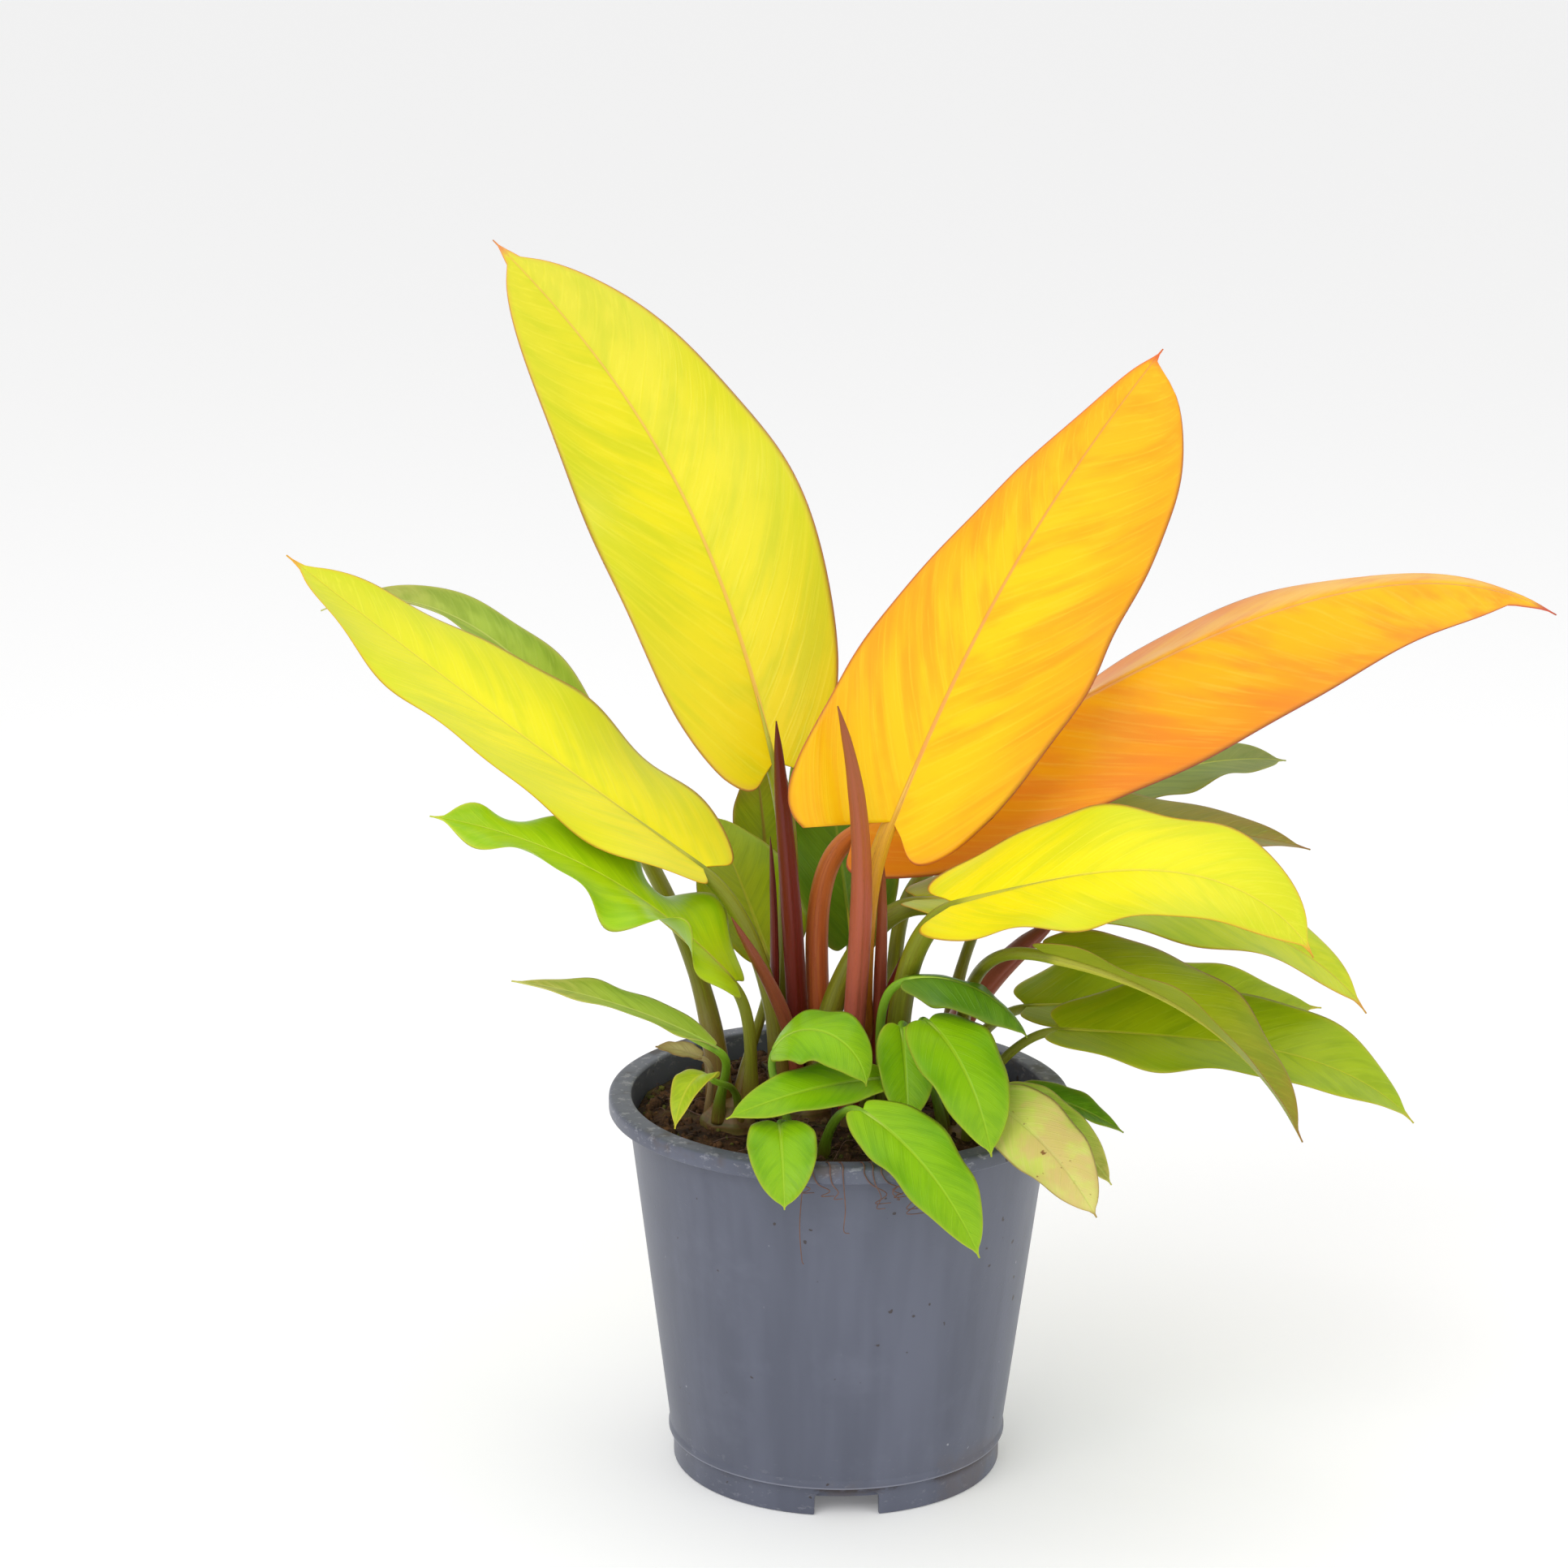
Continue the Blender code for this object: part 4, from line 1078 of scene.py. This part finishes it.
def make_pot():
    section = pot_section()
    angle = pot_angles()
    radius = np.broadcast_to(section[:, :1], (len(section), len(angle)))
    height = np.broadcast_to(section[:, 1:], radius.shape).copy()
    on_ring = (radius > FOOT_RADIUS - WALL - 0.1 * MM) & (height < NOTCH_HEIGHT)
    height = np.where(on_ring, np.maximum(height, notch_height(angle)[None, :]), height)
    parts = [radius * np.cos(angle), radius * np.sin(angle), height]
    shell = Shell("moulded_pot")
    shell.add(np.stack(parts, axis=-1))
    made = shell.build([pot_skin()], "pot_plastic", "pot", sharp=38)
    cut_drains(made)


def cut_drains(pot):
    """Cut a hole in the middle of the floor and a ring of holes round it."""
    turn = 2 * math.pi * np.arange(DRAIN_COUNT) / DRAIN_COUNT
    ring = DRAIN_CIRCLE * np.stack([np.cos(turn), np.sin(turn)], axis=1)
    centres = np.vstack([np.zeros(2), ring])
    angle = np.arange(32) * 2 * math.pi / 32
    heights = np.array([FLOOR_HEIGHT - 2 * MM, FLOOR_HEIGHT + WALL + 2 * MM])
    grids = np.zeros((len(centres), 2, 32, 3))
    grids[..., 0] = centres[:, None, None, 0] + DRAIN_RADIUS * np.cos(angle)
    grids[..., 1] = centres[:, None, None, 1] + DRAIN_RADIUS * np.sin(angle)
    grids[..., 2] = heights[:, None]
    shell = Shell("drain_holes")
    shell.add(grids)
    cutter = shell.build([], "pot_plastic")
    change = pot.modifiers.new("drains", "BOOLEAN")
    change.operation = "DIFFERENCE"
    change.object = cutter
    change.solver = "EXACT"
    bpy.context.view_layer.update()
    graph = bpy.context.evaluated_depsgraph_get()
    cut = bpy.data.meshes.new_from_object(pot.evaluated_get(graph))
    pot.modifiers.clear()
    pot.data = cut
    bpy.data.objects.remove(cutter)


# Soil and roots

def soil_top(x, y, waves):
    """The soil's height: lumps on a low dome that dips against the wall.

    In millimetres over the solid: 1.9 * lumps + 4.2 - 1.2 * s^2 - 0.8 * s^12, where s is the
    share of the way out to the wall.
    """
    share = np.hypot(x, y) / inner_radius(SOIL_HEIGHT)
    lumps = rough_ground(x, y, waves)
    return SOIL_HEIGHT + (1.9 * lumps + 4.2 - 1.2 * share ** 2 - 0.8 * share ** 12) * MM


def make_soil(waves):
    """The peat's body: its lumpy top in rings, its side along the wall and a flat bottom."""
    angle = np.arange(260) * 2 * math.pi / 260
    edge = inner_radius(SOIL_HEIGHT) - CLEARANCE
    rings = np.linspace(0.02, 1, 84) * edge
    x = rings[:, None] * np.cos(angle)
    y = rings[:, None] * np.sin(angle)
    top = np.stack([x, y, soil_top(x, y, waves)], axis=-1)
    levels = np.array([SOIL_HEIGHT - 6 * MM, SOIL_BOTTOM + 2 * MM, SOIL_BOTTOM, SOIL_BOTTOM])
    reach = inner_radius(levels) - CLEARANCE
    reach[2] -= 2 * MM
    reach[3] = 3 * MM
    parts = [reach[:, None] * np.cos(angle), reach[:, None] * np.sin(angle),
             np.broadcast_to(levels[:, None], (4, 260))]
    shell = Shell("peat")
    shell.add(np.concatenate([top, np.stack(parts, axis=-1)]))
    skin = soil_skin("peat_ground", shade(36, 22, 14), shade(84, 56, 36), 0.3)
    shell.build([skin], "soil_peat", "soil")


def spots_on_soil(random, count, inner, outer):
    """Random places on the soil between two radii, evenly over the area."""
    radius = np.sqrt(random.uniform(inner ** 2, outer ** 2, count))
    turn = random.uniform(0, 2 * math.pi, count)
    return radius * np.cos(turn), radius * np.sin(turn)


def lumps(random, centres, sizes, rows=5, columns=7):
    """Small uneven lumps: spheres of 4 by 7 faces, each point moved in or out by a fifth."""
    polar = np.linspace(0.12, math.pi - 0.12, rows)[:, None]
    angle = np.arange(columns)[None, :] * 2 * math.pi / columns
    round_shape = np.stack([np.sin(polar) * np.cos(angle), np.sin(polar) * np.sin(angle),
                            np.cos(polar) * np.ones_like(angle)], axis=-1)
    grids = round_shape * random.uniform(0.72, 1.15, (len(centres), rows, columns, 1))
    stretch = random.uniform(0.6, 1.3, (len(centres), 1, 1, 3))
    return centres[:, None, None] + grids * stretch * sizes[:, None, None, None]


def make_crumbs(waves):
    """Crumbs of peat and tufts of moss, strewn over the soil and thicker by the wall."""
    random = np.random.default_rng(7)
    edge = inner_radius(SOIL_HEIGHT) - 2 * MM
    shell = Shell("peat_crumbs")
    for count, small, large, inner, skin in ((900, 0.5, 1.7, 0.1, 0), (240, 1.4, 3.0, 0.5, 0),
                                             (200, 0.6, 1.5, 0.35, 1)):
        x, y = spots_on_soil(random, count, inner * edge, edge)
        sizes = random.uniform(small, large, count) * MM
        x *= 1 - sizes / edge
        y *= 1 - sizes / edge
        centres = np.stack([x, y, soil_top(x, y, waves) + sizes * 0.2], axis=1)
        shell.add(lumps(random, centres, sizes), skin)
    crumb = soil_skin("peat_crumb", shade(46, 30, 20), shade(112, 78, 52), 0.2)
    moss = soil_skin("moss", shade(66, 66, 28), shade(120, 118, 52), 0.6)
    shell.build([crumb, moss], "soil_peat")


def make_fibres(waves):
    """Fine fibres that lie on the soil, each an arc with its middle lifted a little."""
    random = np.random.default_rng(11)
    edge = inner_radius(SOIL_HEIGHT) - 3 * MM
    shell = Shell("peat_fibres")
    angle = np.arange(6) * 2 * math.pi / 6
    section = np.stack([np.cos(angle), np.sin(angle)], axis=1)
    starts = np.stack(spots_on_soil(random, 150, 0.1 * edge, edge), axis=1)
    for start in starts:
        turn = random.uniform(0, 2 * math.pi)
        heading = np.array([math.cos(turn), math.sin(turn)])
        sideways = np.array([-heading[1], heading[0]])
        share = np.linspace(0, 1, 12)[:, None]
        length, bow, lift = random.uniform([5, -3, 0.6], [17, 3, 3.2]) * MM
        flat = start + heading * share * length + sideways * bow * np.sin(math.pi * share)
        reach = np.linalg.norm(flat, axis=1)[:, None]
        flat = flat * np.minimum(1, edge / reach)
        height = soil_top(flat[:, 0], flat[:, 1], waves) + lift * np.sin(math.pi * share[:, 0])
        path = np.column_stack([flat, height + 0.3 * MM])
        radii = random.uniform(0.1, 0.26) * MM * (1 - 0.6 * share[:, 0])
        shell.add(carried(path, radii, section))
    shell.build([root_skin()], "soil_peat")


def make_roots():
    """Fine roots that climb over the front of the rim and hang down outside.

    Each is (place across, hang, drift), in millimetres. The path goes up the inner wall,
    over the lip and down in a slack curve that hooks at its end.
    """
    shell = Shell("rim_roots")
    angle = np.arange(8) * 2 * math.pi / 8
    section = np.stack([np.cos(angle), np.sin(angle)], axis=1)
    roots = ((-12, 32, -1.5), (1.5, 20, 1), (12, 11, 3), (18, 14, 12), (24, 8, -5), (-3, 7, 3),
             (-9, 6, 6), (-15, 5, 5), (9, 9, 8), (15, 7, 9), (21, 12, 6), (26, 6, -7))
    for across, hang, drift in roots:
        lip = POT_HEIGHT + 0.3 * MM
        out = RIM_RADIUS + 0.3 * MM
        inside = inner_radius(POT_HEIGHT)
        knots = np.array([
            (across - 5, inside - 4 * MM, SOIL_HEIGHT + 1 * MM),
            (across - 3, inside, lip - 3 * MM),
            (across - 1, inside + 2.5 * MM, lip),
            (across, out - 1.5 * MM, lip),
            (across, out, lip - 2 * MM),
            (across + drift * 0.3, out, lip - 6 * MM),
            (across + drift, out - 1.5 * MM, lip - (6 + hang * 0.5) * MM),
            (across + drift * 0.5, out - 2.5 * MM, lip - (6 + hang * 0.9) * MM),
            (across + drift + 1.5, out - 2 * MM, lip - (5 + hang) * MM),
        ])
        x = knots[:, 0] * MM
        depth = np.sqrt(np.maximum(knots[:, 1] ** 2 - x ** 2, 0))
        path = smooth_path(np.stack([x, -depth, knots[:, 2]], axis=1), 60)
        radii = np.linspace(0.34, 0.16, 60) * MM
        shell.add(carried(path, radii, section))
    shell.build([root_skin()], "soil_peat")


def smooth_path(knots, steps):
    """A curve through knots: a cubic whose slope at a knot is that between its neighbours."""
    slopes = np.gradient(knots, axis=0)
    place = np.linspace(0, len(knots) - 1, steps)
    start = np.minimum(place.astype(int), len(knots) - 2)
    t = (place - start)[:, None]
    first = knots[start] * (2 * t ** 3 - 3 * t ** 2 + 1)
    first = first + slopes[start] * (t ** 3 - 2 * t ** 2 + t)
    second = knots[start + 1] * (3 * t ** 2 - 2 * t ** 3) + slopes[start + 1] * (t ** 3 - t ** 2)
    return first + second


# Stage

CAMERA_PLACE = (0.0, -1.5, 0.651)
CAMERA_PITCH = 14.66
CAMERA_YAW = -0.81
CAMERA_ROLL = 0.38
LENS = 98.42
SENSOR = 36
AMBIENT = 0.8
BACKDROP = 0.95
FLOOR_GLOW = 0.12
FLOOR_REACH = 14.0
FLOOR_DROP = 0.2 * MM

# Each light's name, place and size in metres, and power in watts; all face one place
LIGHTS = (
    ("key_light", (-0.7, -1.3, 1.5), 1.2, 12),
    ("fill_light", (1.3, -0.9, 0.9), 1.2, 3),
    ("top_light", (0.1, 0.4, 1.7), 1.4, 3),
)
LIT_PLACE = (0, 0, 0.22)


def make_camera():
    """Stands in front of the pot, a little above it, and looks slightly down."""
    pitch, yaw, roll = (math.radians(turn) for turn in (CAMERA_PITCH, CAMERA_YAW, CAMERA_ROLL))
    level = math.cos(pitch)
    forward = np.array([math.sin(yaw) * level, math.cos(yaw) * level, -math.sin(pitch)])
    right = np.array([math.cos(yaw), -math.sin(yaw), 0])
    above = np.cross(right, forward)
    side = right * math.cos(roll) + above * math.sin(roll)
    above = above * math.cos(roll) - right * math.sin(roll)
    data = bpy.data.cameras.new("camera")
    data.sensor_width = SENSOR
    data.lens = LENS
    made = bpy.data.objects.new("camera", data)
    turn = Matrix(np.stack([side, above, -forward], axis=1).tolist()).to_4x4()
    made.matrix_world = Matrix.Translation(POT_PLACE + CAMERA_PLACE) @ turn
    bpy.context.scene.collection.objects.link(made)
    bpy.context.scene.camera = made


def area_light(name, place, size, power):
    """A soft square light that faces the plant."""
    data = bpy.data.lights.new(name, "AREA")
    data.size = size
    data.energy = power
    made = bpy.data.objects.new(name, data)
    away = Vector(place) - Vector(LIT_PLACE)
    made.location = place
    made.rotation_euler = away.to_track_quat("Z", "Y").to_euler()
    bpy.context.scene.collection.objects.link(made)


def make_stage():
    """A plain pale floor under soft studio light."""
    mesh = bpy.data.meshes.new("floor")
    signs = ((-1, -1), (1, -1), (1, 1), (-1, 1))
    corners = [(x * FLOOR_REACH, y * FLOOR_REACH, -FLOOR_DROP) for x, y in signs]
    mesh.from_pydata(corners, [], [(0, 1, 2, 3)])
    floor = bpy.data.objects.new("floor", mesh)
    bpy.context.scene.collection.objects.link(floor)
    skin = Skin("pale_floor", 0.8, **{
        "Emission Color": (1, 1, 1, 1),
        "Emission Strength": FLOOR_GLOW,
    })
    mesh.materials.append(skin.finish(shade(249, 249, 249)))
    for light in LIGHTS:
        area_light(*light)
    world = bpy.data.worlds.new("studio")
    world.use_nodes = True
    tree = world.node_tree
    backdrop = tree.nodes["Background"]
    backdrop.inputs["Color"].default_value = (1, 1, 1, 1)
    seen = tree.nodes.new("ShaderNodeLightPath")
    strength = tree.nodes.new("ShaderNodeMapRange")
    strength.inputs["To Min"].default_value = AMBIENT
    strength.inputs["To Max"].default_value = BACKDROP
    tree.links.new(seen.outputs["Is Camera Ray"], strength.inputs["Value"])
    tree.links.new(strength.outputs["Result"], backdrop.inputs["Strength"])
    bpy.context.scene.world = world
    bpy.context.scene.view_settings.view_transform = "Standard"


make_camera()
make_stage()
soil_waves = scattered_waves(3, 60, 900)
make_pot()
make_soil(soil_waves)
make_crumbs(soil_waves)
make_fibres(soil_waves)
make_roots()
make_crowns()
make_leaves()
